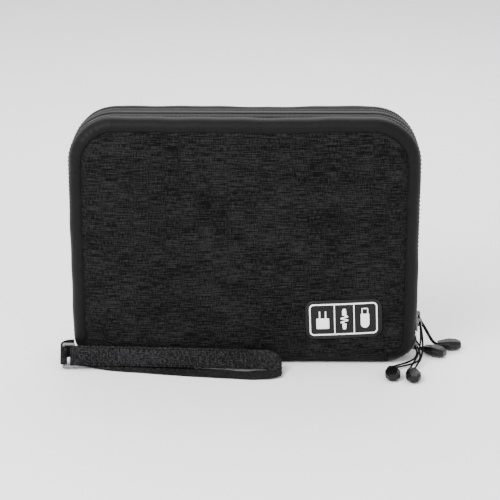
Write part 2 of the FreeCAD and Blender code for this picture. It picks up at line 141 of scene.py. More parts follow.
# ---- mesh helpers -------------------------------------------------------
def grid_faces(rows, cols, wrap_rows=False, wrap_cols=False):
    """Quads of a grid of rows by cols points, joined round either way if asked."""
    r = np.arange(rows if wrap_rows else rows - 1)
    c = np.arange(cols if wrap_cols else cols - 1)
    r0, c0 = np.meshgrid(r, c, indexing="ij")
    r1 = (r0 + 1) % rows
    c1 = (c0 + 1) % cols
    return np.stack([r0 * cols + c0, r0 * cols + c1, r1 * cols + c1, r1 * cols + c0], -1).reshape(-1, 4)


def new_mesh(name, points, faces, material, cloth_map=None, smooth=True):
    """One object from an array of points (n, 3) and of faces, with an optional map in metres of cloth."""
    mesh = bpy.data.meshes.new(name)
    mesh.from_pydata(np.asarray(points).reshape(-1, 3).tolist(), [], [list(map(int, f)) for f in faces])
    if cloth_map is not None:
        layer = mesh.uv_layers.new(name="cloth")
        index = np.zeros(len(mesh.loops), dtype=np.int32)
        mesh.loops.foreach_get("vertex_index", index)
        layer.data.foreach_set("uv", np.asarray(cloth_map).reshape(-1, 2)[index].ravel().astype(np.float32))
    mesh.polygons.foreach_set("use_smooth", np.full(len(mesh.polygons), smooth))
    mesh.validate()
    obj = bpy.data.objects.new(name, mesh)
    bpy.context.scene.collection.objects.link(obj)
    mesh.materials.append(material)
    return obj


def turn_outward(obj):
    """Makes a piece's faces point outward."""
    work = bmesh.new()
    work.from_mesh(obj.data)
    bmesh.ops.recalc_face_normals(work, faces=work.faces)
    work.to_mesh(obj.data)
    work.free()


def face_toward(obj, direction):
    """Flips an open piece so that most of its area faces the given direction."""
    normals = np.zeros(len(obj.data.polygons) * 3)
    areas = np.zeros(len(obj.data.polygons))
    obj.data.polygons.foreach_get("normal", normals)
    obj.data.polygons.foreach_get("area", areas)
    if float((normals.reshape(-1, 3) @ np.array(direction) * areas).sum()) < 0:
        obj.data.flip_normals()


def thicken(obj, thickness, offset=-1.0):
    solid = obj.modifiers.new("thickness", "SOLIDIFY")
    solid.thickness = thickness
    solid.offset = offset
    solid.use_even_offset = True


def refine(obj, levels):
    sub = obj.modifiers.new("smooth", "SUBSURF")
    sub.levels = levels
    sub.render_levels = levels


def ripple(t, waves, seed):
    """A smooth uneven line: a sum of sines, each of a given length and height, with phases from the seed."""
    phases = np.random.default_rng(seed).uniform(0, 2 * math.pi, len(waves))
    return sum(high * np.sin(2 * math.pi * t / length + p) for (length, high), p in zip(waves, phases))


# ---- the pouch outline --------------------------------------------------
def outline_knots():
    """Centre x, centre z, radius and direction (degrees) where the outline's arcs start and end."""
    xb, zb = HALF - BOTTOM_RADIUS, BOTTOM_RADIUS
    xt, zt = HALF - TOP_RADIUS, HEIGHT - TOP_RADIUS
    rows = np.array([
        [-xb, zb, BOTTOM_RADIUS, 270], [-xb, zb, BOTTOM_RADIUS, 180], [-xt, zt, TOP_RADIUS, 180],
        [-xt, zt, TOP_RADIUS, 90], [xt, zt, TOP_RADIUS, 90], [xt, zt, TOP_RADIUS, 0],
        [xb, zb, BOTTOM_RADIUS, 0], [xb, zb, BOTTOM_RADIUS, -90]])
    quarter_low = BOTTOM_RADIUS * math.pi / 2
    quarter_high = TOP_RADIUS * math.pi / 2
    side = zt - zb
    lengths = np.array([0, quarter_low, side, quarter_high, 2 * xt, quarter_high, side, quarter_low])
    return rows, np.cumsum(lengths)


KNOTS, KNOT_S = outline_knots()
PATH_LENGTH = KNOT_S[-1]


def outline(s, lift):
    """Points (x, z) at arc length s, lifted outward: centre plus (radius + lift) times the direction."""
    cx, cz, radius, angle = (np.interp(s, KNOT_S, KNOTS[:, k]) for k in range(4))
    a = np.radians(angle)
    return cx + (radius + lift) * np.cos(a), cz + (radius + lift) * np.sin(a)


def path_steps(start, end, step):
    return np.linspace(start, end, max(2, int(round((end - start) / step)) + 1))


def height_s(height):
    """Arc length at which the outline's left end has risen to the given height."""
    return BOTTOM_RADIUS * math.acos(1 - height / BOTTOM_RADIUS)


def sweep(s, profile, lift_extra=0.0, depth_extra=0.0):
    """Carries a profile of (lift, depth) pairs along the outline; extras are arrays (len(s), points)."""
    lift = profile[None, :, 0] + lift_extra
    depth = profile[None, :, 1] + depth_extra
    lift, depth, ss = np.broadcast_arrays(lift, depth, s[:, None])
    x, z = outline(ss, lift)
    return np.stack([x, depth, z], -1)


def side_of(points, sign):
    """The front piece's points as they are, or mirrored to the rear."""
    out = np.array(points, dtype=float)
    if sign > 0:
        out[..., 1] *= -1
    return out


# ---- finishes -----------------------------------------------------------
def node(tree, kind, place, **values):
    made = tree.nodes.new(kind)
    made.location = place
    for key, value in values.items():
        if key.startswith("in_"):
            made.inputs[key[3:].replace("_", " ")].default_value = value
        else:
            setattr(made, key, value)
    return made


def weave_group():
    """Yarn pattern on cloth coordinates in metres: noise drawn long one way, and waves for the threads."""
    tree = bpy.data.node_groups.new("yarn weave", "ShaderNodeTree")
    face = tree.interface
    face.new_socket("Vector", in_out="INPUT", socket_type="NodeSocketVector")
    inputs = (("Threads per metre", 1400.0), ("Streak length", 0.02), ("Streaks", 1.0), ("Patches", 0.5))
    for label, default in inputs:
        face.new_socket(label, in_out="INPUT", socket_type="NodeSocketFloat").default_value = default
    face.new_socket("Yarn", in_out="OUTPUT", socket_type="NodeSocketFloat")
    face.new_socket("Height", in_out="OUTPUT", socket_type="NodeSocketFloat")
    given = node(tree, "NodeGroupInput", (-1400, 0))
    result = node(tree, "NodeGroupOutput", (900, 0))
    split = node(tree, "ShaderNodeSeparateXYZ", (-1200, 0))
    tree.links.new(given.outputs["Vector"], split.inputs[0])

    def maths(operation, a, b, place):
        made = node(tree, "ShaderNodeMath", place, operation=operation)
        for socket, value in zip(made.inputs, (a, b)):
            if isinstance(value, (int, float)):
                socket.default_value = value
            else:
                tree.links.new(value, socket)
        return made.outputs[0]

    def stretched(along, across, place):
        """Noise whose cells are long in one direction."""
        x, y = place
        joined = node(tree, "ShaderNodeCombineXYZ", (x, y))
        tree.links.new(maths("MULTIPLY", split.outputs[0], along, (x - 180, y)), joined.inputs[0])
        tree.links.new(maths("MULTIPLY", split.outputs[1], across, (x - 180, y - 160)), joined.inputs[1])
        noise = node(tree, "ShaderNodeTexNoise", (x + 180, y), noise_dimensions="2D")
        noise.inputs["Scale"].default_value = 1.0
        noise.inputs["Detail"].default_value = 2.0
        tree.links.new(joined.outputs[0], noise.inputs["Vector"])
        return noise.outputs[0]

    streak_rate = maths("DIVIDE", 1.0, given.outputs["Streak length"], (-1200, 300))
    weft = stretched(streak_rate, given.outputs["Threads per metre"], (-700, 500))
    weft_fine = stretched(420.0, given.outputs["Threads per metre"], (-700, 250))
    warp = stretched(given.outputs["Threads per metre"], 220.0, (-700, 0))
    patch = stretched(28.0, 60.0, (-700, -250))
    total = maths("ADD", maths("MULTIPLY", weft, 0.47, (-200, 500)),
                  maths("MULTIPLY", weft_fine, 0.22, (-200, 250)), (0, 400))
    total = maths("ADD", total, maths("MULTIPLY", warp, 0.31, (-200, 0)), (150, 300))
    uneven = maths("SUBTRACT", total, 0.5, (300, 300))
    spread = maths("MULTIPLY", uneven, given.outputs["Streaks"], (450, 300))
    patches = maths("MULTIPLY", maths("SUBTRACT", patch, 0.5, (300, 0)), given.outputs["Patches"], (450, 0))
    yarn = maths("ADD", maths("ADD", spread, patches, (600, 200)), 0.36, (700, 200))
    clamp = node(tree, "ShaderNodeClamp", (800, 200))
    tree.links.new(yarn, clamp.inputs[0])
    tree.links.new(clamp.outputs[0], result.inputs["Yarn"])
    turns = maths("MULTIPLY", given.outputs["Threads per metre"], math.pi, (-900, -500))
    across = maths("SINE", maths("MULTIPLY", split.outputs[0], turns, (-700, -500)), 0.0, (-500, -500))
    along = maths("SINE", maths("MULTIPLY", split.outputs[1], turns, (-700, -700)), 0.0, (-500, -700))
    crossed = maths("MULTIPLY", across, along, (-300, -600))
    height = maths("ADD", maths("MULTIPLY", crossed, 0.35, (-100, -600)),
                   maths("MULTIPLY", weft, 1.0, (-100, -400)), (200, -500))
    tree.links.new(height, result.inputs["Height"])
    return tree


def wear_group():
    """Broad soft variation: two sizes of noise on object coordinates, given as one mask about a half."""
    tree = bpy.data.node_groups.new("soft variation", "ShaderNodeTree")
    tree.interface.new_socket("Scale", in_out="INPUT", socket_type="NodeSocketFloat").default_value = 40.0
    tree.interface.new_socket("Mask", in_out="OUTPUT", socket_type="NodeSocketFloat")
    given = node(tree, "NodeGroupInput", (-600, 0))
    result = node(tree, "NodeGroupOutput", (400, 0))
    place = node(tree, "ShaderNodeTexCoord", (-600, 300))
    noise = node(tree, "ShaderNodeTexNoise", (-200, 0), in_Detail=4.0, in_Roughness=0.6)
    tree.links.new(place.outputs["Object"], noise.inputs["Vector"])
    tree.links.new(given.outputs["Scale"], noise.inputs["Scale"])
    tree.links.new(noise.outputs[0], result.inputs["Mask"])
    return tree


class Finish:
    """One material on its way: a Principled BSDF with its tree and the shared groups at hand."""

    def __init__(self, name, roughness, **sockets):
        self.material = bpy.data.materials.new(name)
        self.material.use_nodes = True
        self.tree = self.material.node_tree
        self.shader = self.tree.nodes["Principled BSDF"]
        self.shader.inputs["Roughness"].default_value = roughness
        for key, value in sockets.items():
            self.shader.inputs[key.replace("_", " ")].default_value = value

    def place(self, mapped):
        """Cloth map in metres, or object coordinates turned so that x and z lie in the pattern's plane."""
        if mapped:
            return node(self.tree, "ShaderNodeUVMap", (-1200, 0), uv_map="cloth").outputs[0]
        coords = node(self.tree, "ShaderNodeTexCoord", (-1400, 0))
        turn = node(self.tree, "ShaderNodeMapping", (-1200, 0))
        turn.inputs["Rotation"].default_value = (math.radians(90), 0, 0)
        self.tree.links.new(coords.outputs["Object"], turn.inputs[0])
        return turn.outputs[0]

    def mix(self, factor, dark, light):
        ramp = node(self.tree, "ShaderNodeMix", (-400, 200), data_type="RGBA")
        colour_a = [s for s in ramp.inputs if s.type == "RGBA"]
        colour_a[0].default_value = (*dark, 1)
        colour_a[1].default_value = (*light, 1)
        self.tree.links.new(factor, ramp.inputs[0])
        out = [s for s in ramp.outputs if s.type == "RGBA"][0]
        self.tree.links.new(out, self.shader.inputs["Base Color"])
        return out

    def group(self, tree, **values):
        made = node(self.tree, "ShaderNodeGroup", (-800, 0), node_tree=tree)
        for key, value in values.items():
            made.inputs[key.replace("_", " ")].default_value = value
        return made

    def bump(self, height, distance, strength=0.6):
        made = node(self.tree, "ShaderNodeBump", (-300, -300))
        made.inputs["Strength"].default_value = strength
        made.inputs["Distance"].default_value = distance
        self.tree.links.new(height, made.inputs["Height"])
        self.tree.links.new(made.outputs[0], self.shader.inputs["Normal"])


def woven(name, dark, light, mapped, threads, streak, spread, patches, roughness, depth, sheen):
    """A woven cloth: the yarn pattern picks between two colours and lifts the surface."""
    cloth = Finish(name, roughness, Sheen_Weight=sheen, Sheen_Roughness=0.5)
    cloth.shader.inputs["Specular IOR Level"].default_value = 0.09
    weave = cloth.group(bpy.data.node_groups["yarn weave"], Threads_per_metre=threads, Streak_length=streak,
                        Streaks=spread, Patches=patches)
    cloth.tree.links.new(cloth.place(mapped), weave.inputs["Vector"])
    cloth.mix(weave.outputs["Yarn"], dark, light)
    cloth.bump(weave.outputs["Height"], depth)
    return cloth.material


def moulded(name, dark, light, roughness, scale, depth, **sockets):
    """Rubber, plastic or metal: soft variation changes its colour, its shine and its surface a little."""
    body = Finish(name, roughness, **sockets)
    wear = body.group(bpy.data.node_groups["soft variation"], Scale=scale)
    body.mix(wear.outputs["Mask"], dark, light)
    body.bump(wear.outputs["Mask"], depth, 0.4)
    spread = node(body.tree, "ShaderNodeMapRange", (-400, -100))
    spread.inputs["To Min"].default_value = roughness - 0.08
    spread.inputs["To Max"].default_value = roughness + 0.12
    body.tree.links.new(wear.outputs["Mask"], spread.inputs["Value"])
    body.tree.links.new(spread.outputs[0], body.shader.inputs["Roughness"])
    return body.material


def shade(colour, share):
    return tuple(c * share for c in colour)


def make_finishes():
    """Every finish of the pouch, by name."""
    weave_group()
    wear_group()
    c = colours()
    dark, light = tuple(c.heather_dark), tuple(c.heather_light)
    band, metal, rubber, white = tuple(c.band), tuple(c.metal), tuple(c.rubber), tuple(c.print_white)
    woven("heather", dark, light, True, 1500, 0.011, 5.6, 0.8, 0.9, 0.00026, 0.004)
    woven("band nylon", shade(band, 0.62), shade(band, 1.5), True, 1700, 0.003, 2.4, 0.5, 0.5, 0.00012, 0.02)
    woven("webbing", shade(band, 0.1), shade(band, 6.5), True, 1000, 0.0016, 5.0, 0.5, 0.75, 0.0002, 0.01)
    woven("zip tape", shade(band, 0.3), shade(band, 0.9), True, 1800, 0.002, 1.6, 0.3, 0.7, 0.0001, 0.02)
    woven("lining cloth", shade(band, 0.9), shade(band, 2.6), False, 2000, 0.004, 1.6, 0.5, 0.7, 0.00008,
          0.05)
    woven("elastic web", shade(band, 0.4), shade(band, 1.4), False, 900, 0.001, 2.2, 0.3, 0.75, 0.00025, 0.05)
    woven("cord braid", shade(band, 0.12), shade(band, 0.7), False, 1300, 0.0008, 2.4, 0.3, 0.7, 0.0003, 0.02)
    woven("thread", shade(band, 1.2), shade(band, 4.5), False, 4000, 0.0006, 2.0, 0.3, 0.6, 0.0001, 0.03)
    moulded("zip nylon", shade(rubber, 0.7), shade(rubber, 2.6), 0.32, 900, 0.00004)
    moulded("gunmetal", shade(metal, 0.5), shade(metal, 1.6), 0.28, 260, 0.00004, Metallic=1.0)
    moulded("grip rubber", shade(rubber, 0.25), shade(rubber, 0.8), 0.27, 500, 0.00006,
             Specular_IOR_Level=0.22)
    moulded("patch rubber", shade(rubber, 0.25), shade(rubber, 0.7), 0.45, 500, 0.00006,
             Specular_IOR_Level=0.2)
    moulded("patch white", shade(white, 0.93), white, 0.5, 400, 0.00004)
    moulded("foam cells", (0.02, 0.02, 0.021), (0.05, 0.05, 0.052), 0.9, 1500, 0.0002)
    net = woven("pocket net", shade(band, 0.6), shade(band, 1.8), False, 700, 0.001, 1.5, 0.2, 0.7, 0.0002,
                0.05)
    net_holes(net)


def net_holes(material):
    """Round holes in straight rows, cut through the alpha by the distance to the centres of a grid."""
    tree = material.node_tree
    coords = node(tree, "ShaderNodeTexCoord", (-1400, -700))
    cells = node(tree, "ShaderNodeTexVoronoi", (-1000, -700), feature="F1")
    cells.inputs["Scale"].default_value = 620.0
    cells.inputs["Randomness"].default_value = 0.0
    tree.links.new(coords.outputs["Object"], cells.inputs["Vector"])
    edge = node(tree, "ShaderNodeMath", (-700, -700), operation="GREATER_THAN")
    edge.inputs[1].default_value = 0.33
    tree.links.new(cells.outputs["Distance"], edge.inputs[0])
    tree.links.new(edge.outputs[0], tree.nodes["Principled BSDF"].inputs["Alpha"])


def finish(name):
    return bpy.data.materials[name]


def settle(obj, body, slot, *cad_nodes):
    """Rides its body and stands for its CAD nodes; the slot is not used."""
    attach(obj, body)
    if cad_nodes:
        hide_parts(*cad_nodes)
    return obj


SIDES = (("front", -1, "front_cover"), ("rear", 1, "rear_cover"))


# ---- face panels --------------------------------------------------------
def unrolled_half(h):
    """Half width of the face cloth at unrolled height h: straight, with a quarter round at each corner."""
    inset = sizes().seam_inset
    full = HALF - inset
    top = TOP_RADIUS - inset
    low = BOTTOM_RADIUS - inset
    top_centre = HEIGHT - TOP_RADIUS
    low_centre = BOTTOM_RADIUS
    above = np.clip(h - top_centre, 0, top)
    below = np.clip(low_centre - h, 0, low)
    cut_top = top - np.sqrt(np.maximum(top ** 2 - above ** 2, 0))
    cut_low = low - np.sqrt(np.maximum(low ** 2 - below ** 2, 0))
    return full - cut_top - cut_low


def rolled(h):
    """Depth and height at unrolled height h: flat face, quarter roll of the edge radius, flat underside."""
    r = sizes().edge_roll
    bend = r * math.pi / 2
    turn = np.clip((r - h) / bend, 0, 1) * math.pi / 2
    past = np.maximum(r - h - bend, 0)
    y = FRONT + r * (1 - np.cos(turn)) + past
    z = np.where(h > r, h, r * (1 - np.sin(turn)))
    return y, z


def face_sheet():
    """The face cloth as a grid: u across, h down the face, round the roll and under to the hinge line."""
    r = sizes().edge_roll
    top = HEIGHT - sizes().seam_inset
    bottom = r - r * math.pi / 2 - (LEAF_EDGE - FRONT - r)
    top_rows = top - (TOP_RADIUS - sizes().seam_inset) * (1 - np.sin(np.linspace(0, math.pi / 2, 13)))[::-1]
    straight = np.arange(HEIGHT - TOP_RADIUS - 3.0 * MM, BOTTOM_RADIUS, -3.0 * MM)
    low = np.linspace(BOTTOM_RADIUS, bottom, 26)
    h = np.concatenate([top_rows, straight, low])
    u = np.linspace(-1, 1, 84)
    half = unrolled_half(h)
    x = half[:, None] * u[None, :]
    hh = np.broadcast_to(h[:, None], x.shape)
    y, z = rolled(hh)
    points = np.stack([x, y, z], -1)
    return points, np.stack([x, hh], -1), h


def edge_distance(points):
    """Distance to the seam of a point on the flat face, by the rounded rectangle's distance formula."""
    inset = sizes().seam_inset
    half = HALF - inset
    x, z = np.abs(points[..., 0]), points[..., 2]
    radius = TOP_RADIUS - inset
    dx = np.maximum(x - (half - radius), 0)
    dz = np.maximum(z - (HEIGHT - inset - radius), 0)
    corner = radius - np.hypot(dx, dz)
    return np.minimum(corner, np.minimum(half - x, HEIGHT - inset - z))


def swell(points, seed):
    """Padded crown: one minus an exponential from the seam in, with soft dents, and gathers at the seam."""
    s = sizes()
    away = np.maximum(edge_distance(points), 0)
    low_edge = np.clip(points[..., 2] / (14.0 * MM), 0, 1)
    crown = (1 - np.exp(-away / (9.0 * MM))) * low_edge
    x, z = points[..., 0], points[..., 2]
    dents = ripple(x + 0.6 * z, ((0.21, 0.28), (0.09, 0.16), (0.051, 0.10)), seed)
    dents = dents + ripple(z - 0.3 * x, ((0.17, 0.24), (0.07, 0.16), (0.037, 0.08)), seed + 1)
    creases = ripple(x + z, ((0.011, 0.16), (0.0067, 0.12), (0.017, 0.12)), seed + 2)
    gathers = np.exp(-away / (5.0 * MM)) * creases
    flat_face = (points[..., 1] < FRONT + 0.5 * MM)
    out = np.array(points)
    lift = s.puff * (0.55 * crown + 0.14 * dents * crown) + 1.2 * MM * gathers * crown ** 0.3 * 0.35
    out[..., 1] -= np.where(flat_face, lift, 0.0)
    out[..., 1] += 1.9 * MM * np.exp(-away / (1.2 * MM)) * flat_face
    return out


def inflate(obj, rows, cols, free):
    """Cloth pass: the border is pinned, and pressure from behind swells the rest up to a cap."""
    s = sizes()
    start = np.zeros(rows * cols * 3)
    obj.data.vertices.foreach_get("co", start)
    start = start.reshape(-1, 3)
    pins = obj.vertex_groups.new(name="seam")
    pins.add([int(i) for i in np.flatnonzero(~free)], 1.0, "REPLACE")
    cloth = obj.modifiers.new("cloth", "CLOTH")
    cloth.settings.vertex_group_mass = "seam"
    cloth.settings.quality = 5
    cloth.settings.mass = 0.25
    cloth.settings.tension_stiffness = 12
    cloth.settings.compression_stiffness = 12
    cloth.settings.bending_stiffness = 1.5
    cloth.settings.shrink_min = -0.012
    cloth.settings.use_pressure = True
    cloth.settings.uniform_pressure_force = s.pressure
    cloth.settings.effector_weights.gravity = 0
    cloth.collision_settings.use_collision = False
    cloth.point_cache.frame_start = 1
    cloth.point_cache.frame_end = CLOTH_FRAMES
    scene = bpy.context.scene
    for number in range(1, CLOTH_FRAMES + 1):
        scene.frame_set(number)
    shown = obj.evaluated_get(bpy.context.evaluated_depsgraph_get())
    moved = np.zeros(rows * cols * 3)
    shown.data.vertices.foreach_get("co", moved)
    obj.modifiers.remove(cloth)
    scene.frame_set(1)
    step = moved.reshape(-1, 3) - start
    length = np.linalg.norm(step, axis=1, keepdims=True)
    cap = s.puff * 0.5
    step *= np.tanh(length / cap) * cap / np.maximum(length, 1e-9)
    obj.data.vertices.foreach_set("co", (start + step).ravel())
    obj.data.update()
    print("cloth pass moved up to", round(float(length.max()) * 1000, 2), "mm")


class POUCH_OT_faces(bpy.types.Operator):
    """The padded heather face of each cover, rolled under to the hinge line."""
    bl_idname = "pouch.faces"
    bl_label = "Cover faces"

    def execute(self, context):
        flat, cloth_map, h = face_sheet()
        rows, cols = flat.shape[:2]
        for name, sign, body in SIDES:
            points = swell(flat, 3 if sign < 0 else 11)
            faces = grid_faces(rows, cols)
            obj = new_mesh(name + "_face", side_of(points, sign), faces, finish("heather"), cloth_map)
            face_toward(obj, (0, sign, 0))
            free = np.ones((rows, cols), dtype=bool)
            free[:PINNED_ROWS, :] = False
            free[:, :PINNED_ROWS] = False
            free[:, -PINNED_ROWS:] = False
            free[h < 9.0 * MM, :] = False
            inflate(obj, rows, cols, free.ravel())
            thicken(obj, 1.0 * MM)
            refine(obj, 1)
            settle(obj, body, "heather_fabric", name + "_panel")
        return {"FINISHED"}


# ---- bands and zips -----------------------------------------------------
def band_profile():
    """From under the face seam, round the roll and along the side to the folded edge by the zip."""
    s = sizes()
    r = s.edge_roll
    tuck = np.array([[-s.seam_inset - 3.4 * MM, FRONT + 2.1 * MM],
                     [-s.seam_inset - 0.4 * MM, FRONT + 1.7 * MM],
                     [-s.seam_inset + 0.3 * MM, FRONT + 0.5 * MM]])
    turn = np.linspace(math.radians(8), math.pi / 2, 9)
    roll = np.stack([-r + r * np.sin(turn), FRONT + r - r * np.cos(turn)], -1)
    edge = ZIP_Y - BAND_HALF
    side_depth = np.linspace(FRONT + r + 1.0 * MM, edge - 0.8 * MM, 4)
    side = np.stack([np.array([0.1, 0.05, 0.1, 0.05]) * MM, side_depth], -1)
    fold = np.array([[-0.25 * MM, edge - 0.15 * MM], [-0.8 * MM, edge], [-1.45 * MM, edge - 0.1 * MM]])
    return np.concatenate([tuck, roll, side, fold])


def gathers_at_corners(s, seed):
    """How much the band puckers: a sharp-crested wave of 7 to 11 mm, strong only on the two upper corners."""
    near = np.exp(-((s - (KNOT_S[2] + KNOT_S[3]) / 2) / (24 * MM)) ** 2)
    far = np.exp(-((s - (KNOT_S[4] + KNOT_S[5]) / 2) / (24 * MM)) ** 2)
    wave = ripple(s, ((0.0107, 0.6), (0.0071, 0.4)), seed)
    return (near + 0.7 * far + 0.12) * (np.abs(wave) ** 0.7 - 0.4) * MM


def map_along(s, profile):
    """Cloth map of a swept piece: arc length along, and the profile's own length across."""
    across = np.concatenate([[0], np.cumsum(np.linalg.norm(np.diff(profile, axis=0), axis=1))])
    a, b = np.meshgrid(s, across, indexing="ij")
    return np.stack([a, b], -1)


def stitches(name, s0, s1, lift, depth, sign, radius, material):
    """A row of stitches: each is a short capsule, six sides round, lying along the outline."""
    pitch = sizes().stitch
    starts = np.arange(s0, s1 - pitch, pitch)
    t = np.array([0.02, 0.1, 0.3, 0.5, 0.7, 0.9, 0.98])
    thick = np.array([0.15, 0.75, 1, 1, 1, 0.75, 0.15]) * radius
    sink = np.array([-0.9, -0.1, 0.25, 0.35, 0.25, -0.1, -0.9]) * radius
    around = np.linspace(0, 2 * math.pi, TUBE_SIDES, endpoint=False)
    s = starts[:, None] + t[None, :] * pitch * 0.74
    lifts = lift + sink[None, :, None] + thick[None, :, None] * np.sin(around)[None, None, :]
    depths = depth + thick[None, :, None] * np.cos(around)[None, None, :]
    ss, lifts, depths = np.broadcast_arrays(s[:, :, None], lifts, depths)
    x, z = outline(ss, lifts)
    points = side_of(np.stack([x, depths, z], -1), sign)
    one = grid_faces(len(t), TUBE_SIDES, wrap_cols=True)
    faces = (one[None] + (np.arange(len(starts)) * len(t) * TUBE_SIDES)[:, None, None]).reshape(-1, 4)
    obj = new_mesh(name, points, faces, finish(material))
    turn_outward(obj)
    return obj


class POUCH_OT_bands(bpy.types.Operator):
    """The plain nylon bands of both covers and of the middle leaf, with their stitched folds."""
    bl_idname = "pouch.bands"
    bl_label = "Nylon bands"

    def execute(self, context):
        s = path_steps(0.0, PATH_LENGTH, 1.6 * MM)
        profile = band_profile()
        for name, sign, body in SIDES:
            seed = 21 if sign < 0 else 31
            soft = ripple(s, ((0.083, 0.30), (0.031, 0.18), (0.149, 0.42)), seed) * MM
            seam = ripple(s, ((0.023, 0.34), (0.0121, 0.26), (0.061, 0.40)), seed + 1) * MM
            weight = np.ones(len(profile))
            weight[-5:] = 0.1
            lift = soft[:, None] * weight[None, :] * 0.8
            depth = -np.abs(seam)[:, None] * np.where(np.arange(len(profile)) < 3, 0.6, 0.0)[None, :]
            fold = np.interp(np.arange(len(profile)), (0, 3, 4, 7, 10, len(profile)), (0, 0.4, 1, 1, 0, 0))
            depth = depth + gathers_at_corners(s, seed + 2)[:, None] * fold[None, :]
            points = side_of(sweep(s, profile, lift, depth), sign)
            obj = new_mesh(name + "_band", points, grid_faces(len(s), len(profile)), finish("band nylon"),
                           map_along(s, profile))
            turn_band_out(obj)
            thicken(obj, BAND_THICK)
            refine(obj, 1)
            settle(obj, body, "plain_nylon", name + "_rim")
            start = height_s(STITCH_FOOT)
            row = stitches(name + "_band_stitches", start, PATH_LENGTH - start, 0.12 * MM, ZIP_Y - 5.6 * MM,
                           sign, 0.22 * MM, "thread")
            settle(row, body, "zip_tape")
        across = np.linspace(-1, 1, 11)
        middle = np.stack([0.35 * MM * (1 - across ** 2) - 0.9 * MM * np.abs(across) ** 8,
                           BAND_HALF * across], -1)
        obj = new_mesh("middle_band", sweep(s, middle), grid_faces(len(s), len(middle)), finish("band nylon"),
                       map_along(s, middle))
        turn_band_out(obj)
        thicken(obj, BAND_THICK)
        refine(obj, 1)
        settle(obj, "middle_leaf", "plain_nylon", "centre_gusset")
        for name, sign, _ in SIDES:
            start = height_s(STITCH_FOOT)
            row = stitches(name + "_middle_stitches", start, PATH_LENGTH - start, 0.1 * MM, -2.7 * MM, sign,
                           0.2 * MM, "thread")
            settle(row, "middle_leaf", "zip_tape")
        return {"FINISHED"}


def turn_band_out(obj):
    """Faces a swept piece away from the pouch's middle."""
    normals = np.zeros(len(obj.data.polygons) * 3)
    centres = np.zeros(len(obj.data.polygons) * 3)
    obj.data.polygons.foreach_get("normal", normals)
    obj.data.polygons.foreach_get("center", centres)
    away = centres.reshape(-1, 3) - np.array([0, 0, HEIGHT / 2])
    if float((normals.reshape(-1, 3) * away).sum()) < 0:
        obj.data.flip_normals()


def coil_points(s0, s1, inner, sign_across, phase):
    """A flattened helix of nylon: the turn angle grows with arc length, long across and low in lift."""
    pitch = sizes().coil_pitch
    per_turn = 12
    turns = (s1 - s0) / pitch
    a = np.linspace(0, 2 * math.pi * turns, int(turns * per_turn) + 1) + phase
    s = s0 + (a - phase) / (2 * math.pi) * pitch + 0.22 * pitch * np.sin(2 * a)
    width = 1.45 * MM
    across = inner + width * (1 - np.cos(a)) - 0.55 * MM
    lift = -0.55 * MM + 0.52 * MM * np.sin(a)
    return s, lift, ZIP_Y + sign_across * across


def coil_tube(name, s0, s1, across_sign, phase, sign):
    """The helix with a six-sided section of 0.3 mm radius round it."""
    s, lift, depth = coil_points(s0, s1, 0.5 * MM, across_sign, phase)
    x, z = outline(s, lift)
    line = np.stack([x, depth, z], -1)
    ahead = np.gradient(line, axis=0)
    ahead /= np.linalg.norm(ahead, axis=1, keepdims=True)
    side = np.cross(ahead, np.array([0, 1.0, 0]))
    side /= np.maximum(np.linalg.norm(side, axis=1, keepdims=True), 1e-6)
    up = np.cross(side, ahead)
    around = np.linspace(0, 2 * math.pi, TUBE_SIDES, endpoint=False)
    radius = 0.3 * MM
    ring = line[:, None] + radius * (np.cos(around)[None, :, None] * side[:, None]
                                     + np.sin(around)[None, :, None] * up[:, None])
    last = (len(line) - 1) * TUBE_SIDES
    caps = [list(range(TUBE_SIDES)), list(range(last, last + TUBE_SIDES))[::-1]]
    faces = [list(f) for f in grid_faces(len(line), TUBE_SIDES, wrap_cols=True)] + caps
    obj = new_mesh(name, side_of(ring, sign), faces, finish("zip nylon"))
    turn_outward(obj)
    return obj


class POUCH_OT_zips(bpy.types.Operator):
    """Both zips: two tapes and two rows of coil teeth each."""
    bl_idname = "pouch.zips"
    bl_label = "Zips"

    def execute(self, context):
        end = height_s(COIL_LOW[2])
        s = path_steps(end, PATH_LENGTH - end, 1.6 * MM)
        for name, sign, body in SIDES:
            for half, across, rider in (("outer", -1, body), ("inner", 1, "middle_leaf")):
                reach = np.array([0.55, 1.2, 2.2, 3.0, 3.6, 4.8, 6.0]) * MM
                lift = np.array([-1.75, -1.6, -1.5, -1.35, -1.5, -1.65, -1.7]) * MM
                reach = reach if half == "outer" else reach * 0.92
                profile = np.stack([lift, ZIP_Y + across * reach], -1)
                tape = new_mesh(f"{name}_tape_{half}", side_of(sweep(s, profile), sign),
                                grid_faces(len(s), len(profile)), finish("zip tape"), map_along(s, profile))
                turn_band_out(tape)
                thicken(tape, 0.4 * MM)
                settle(tape, rider, "zip_tape", f"{name}_zip_tape_{half}")
                phase = 0.0 if half == "outer" else math.pi
                first = end + 0.4 * MM
                coil = coil_tube(f"{name}_coil_{half}", first, PATH_LENGTH - end - 0.4 * MM, across, phase,
                                 sign)
                settle(coil, rider, "zip_coil", f"{name}_zip_coil_{half}")
        return {"FINISHED"}


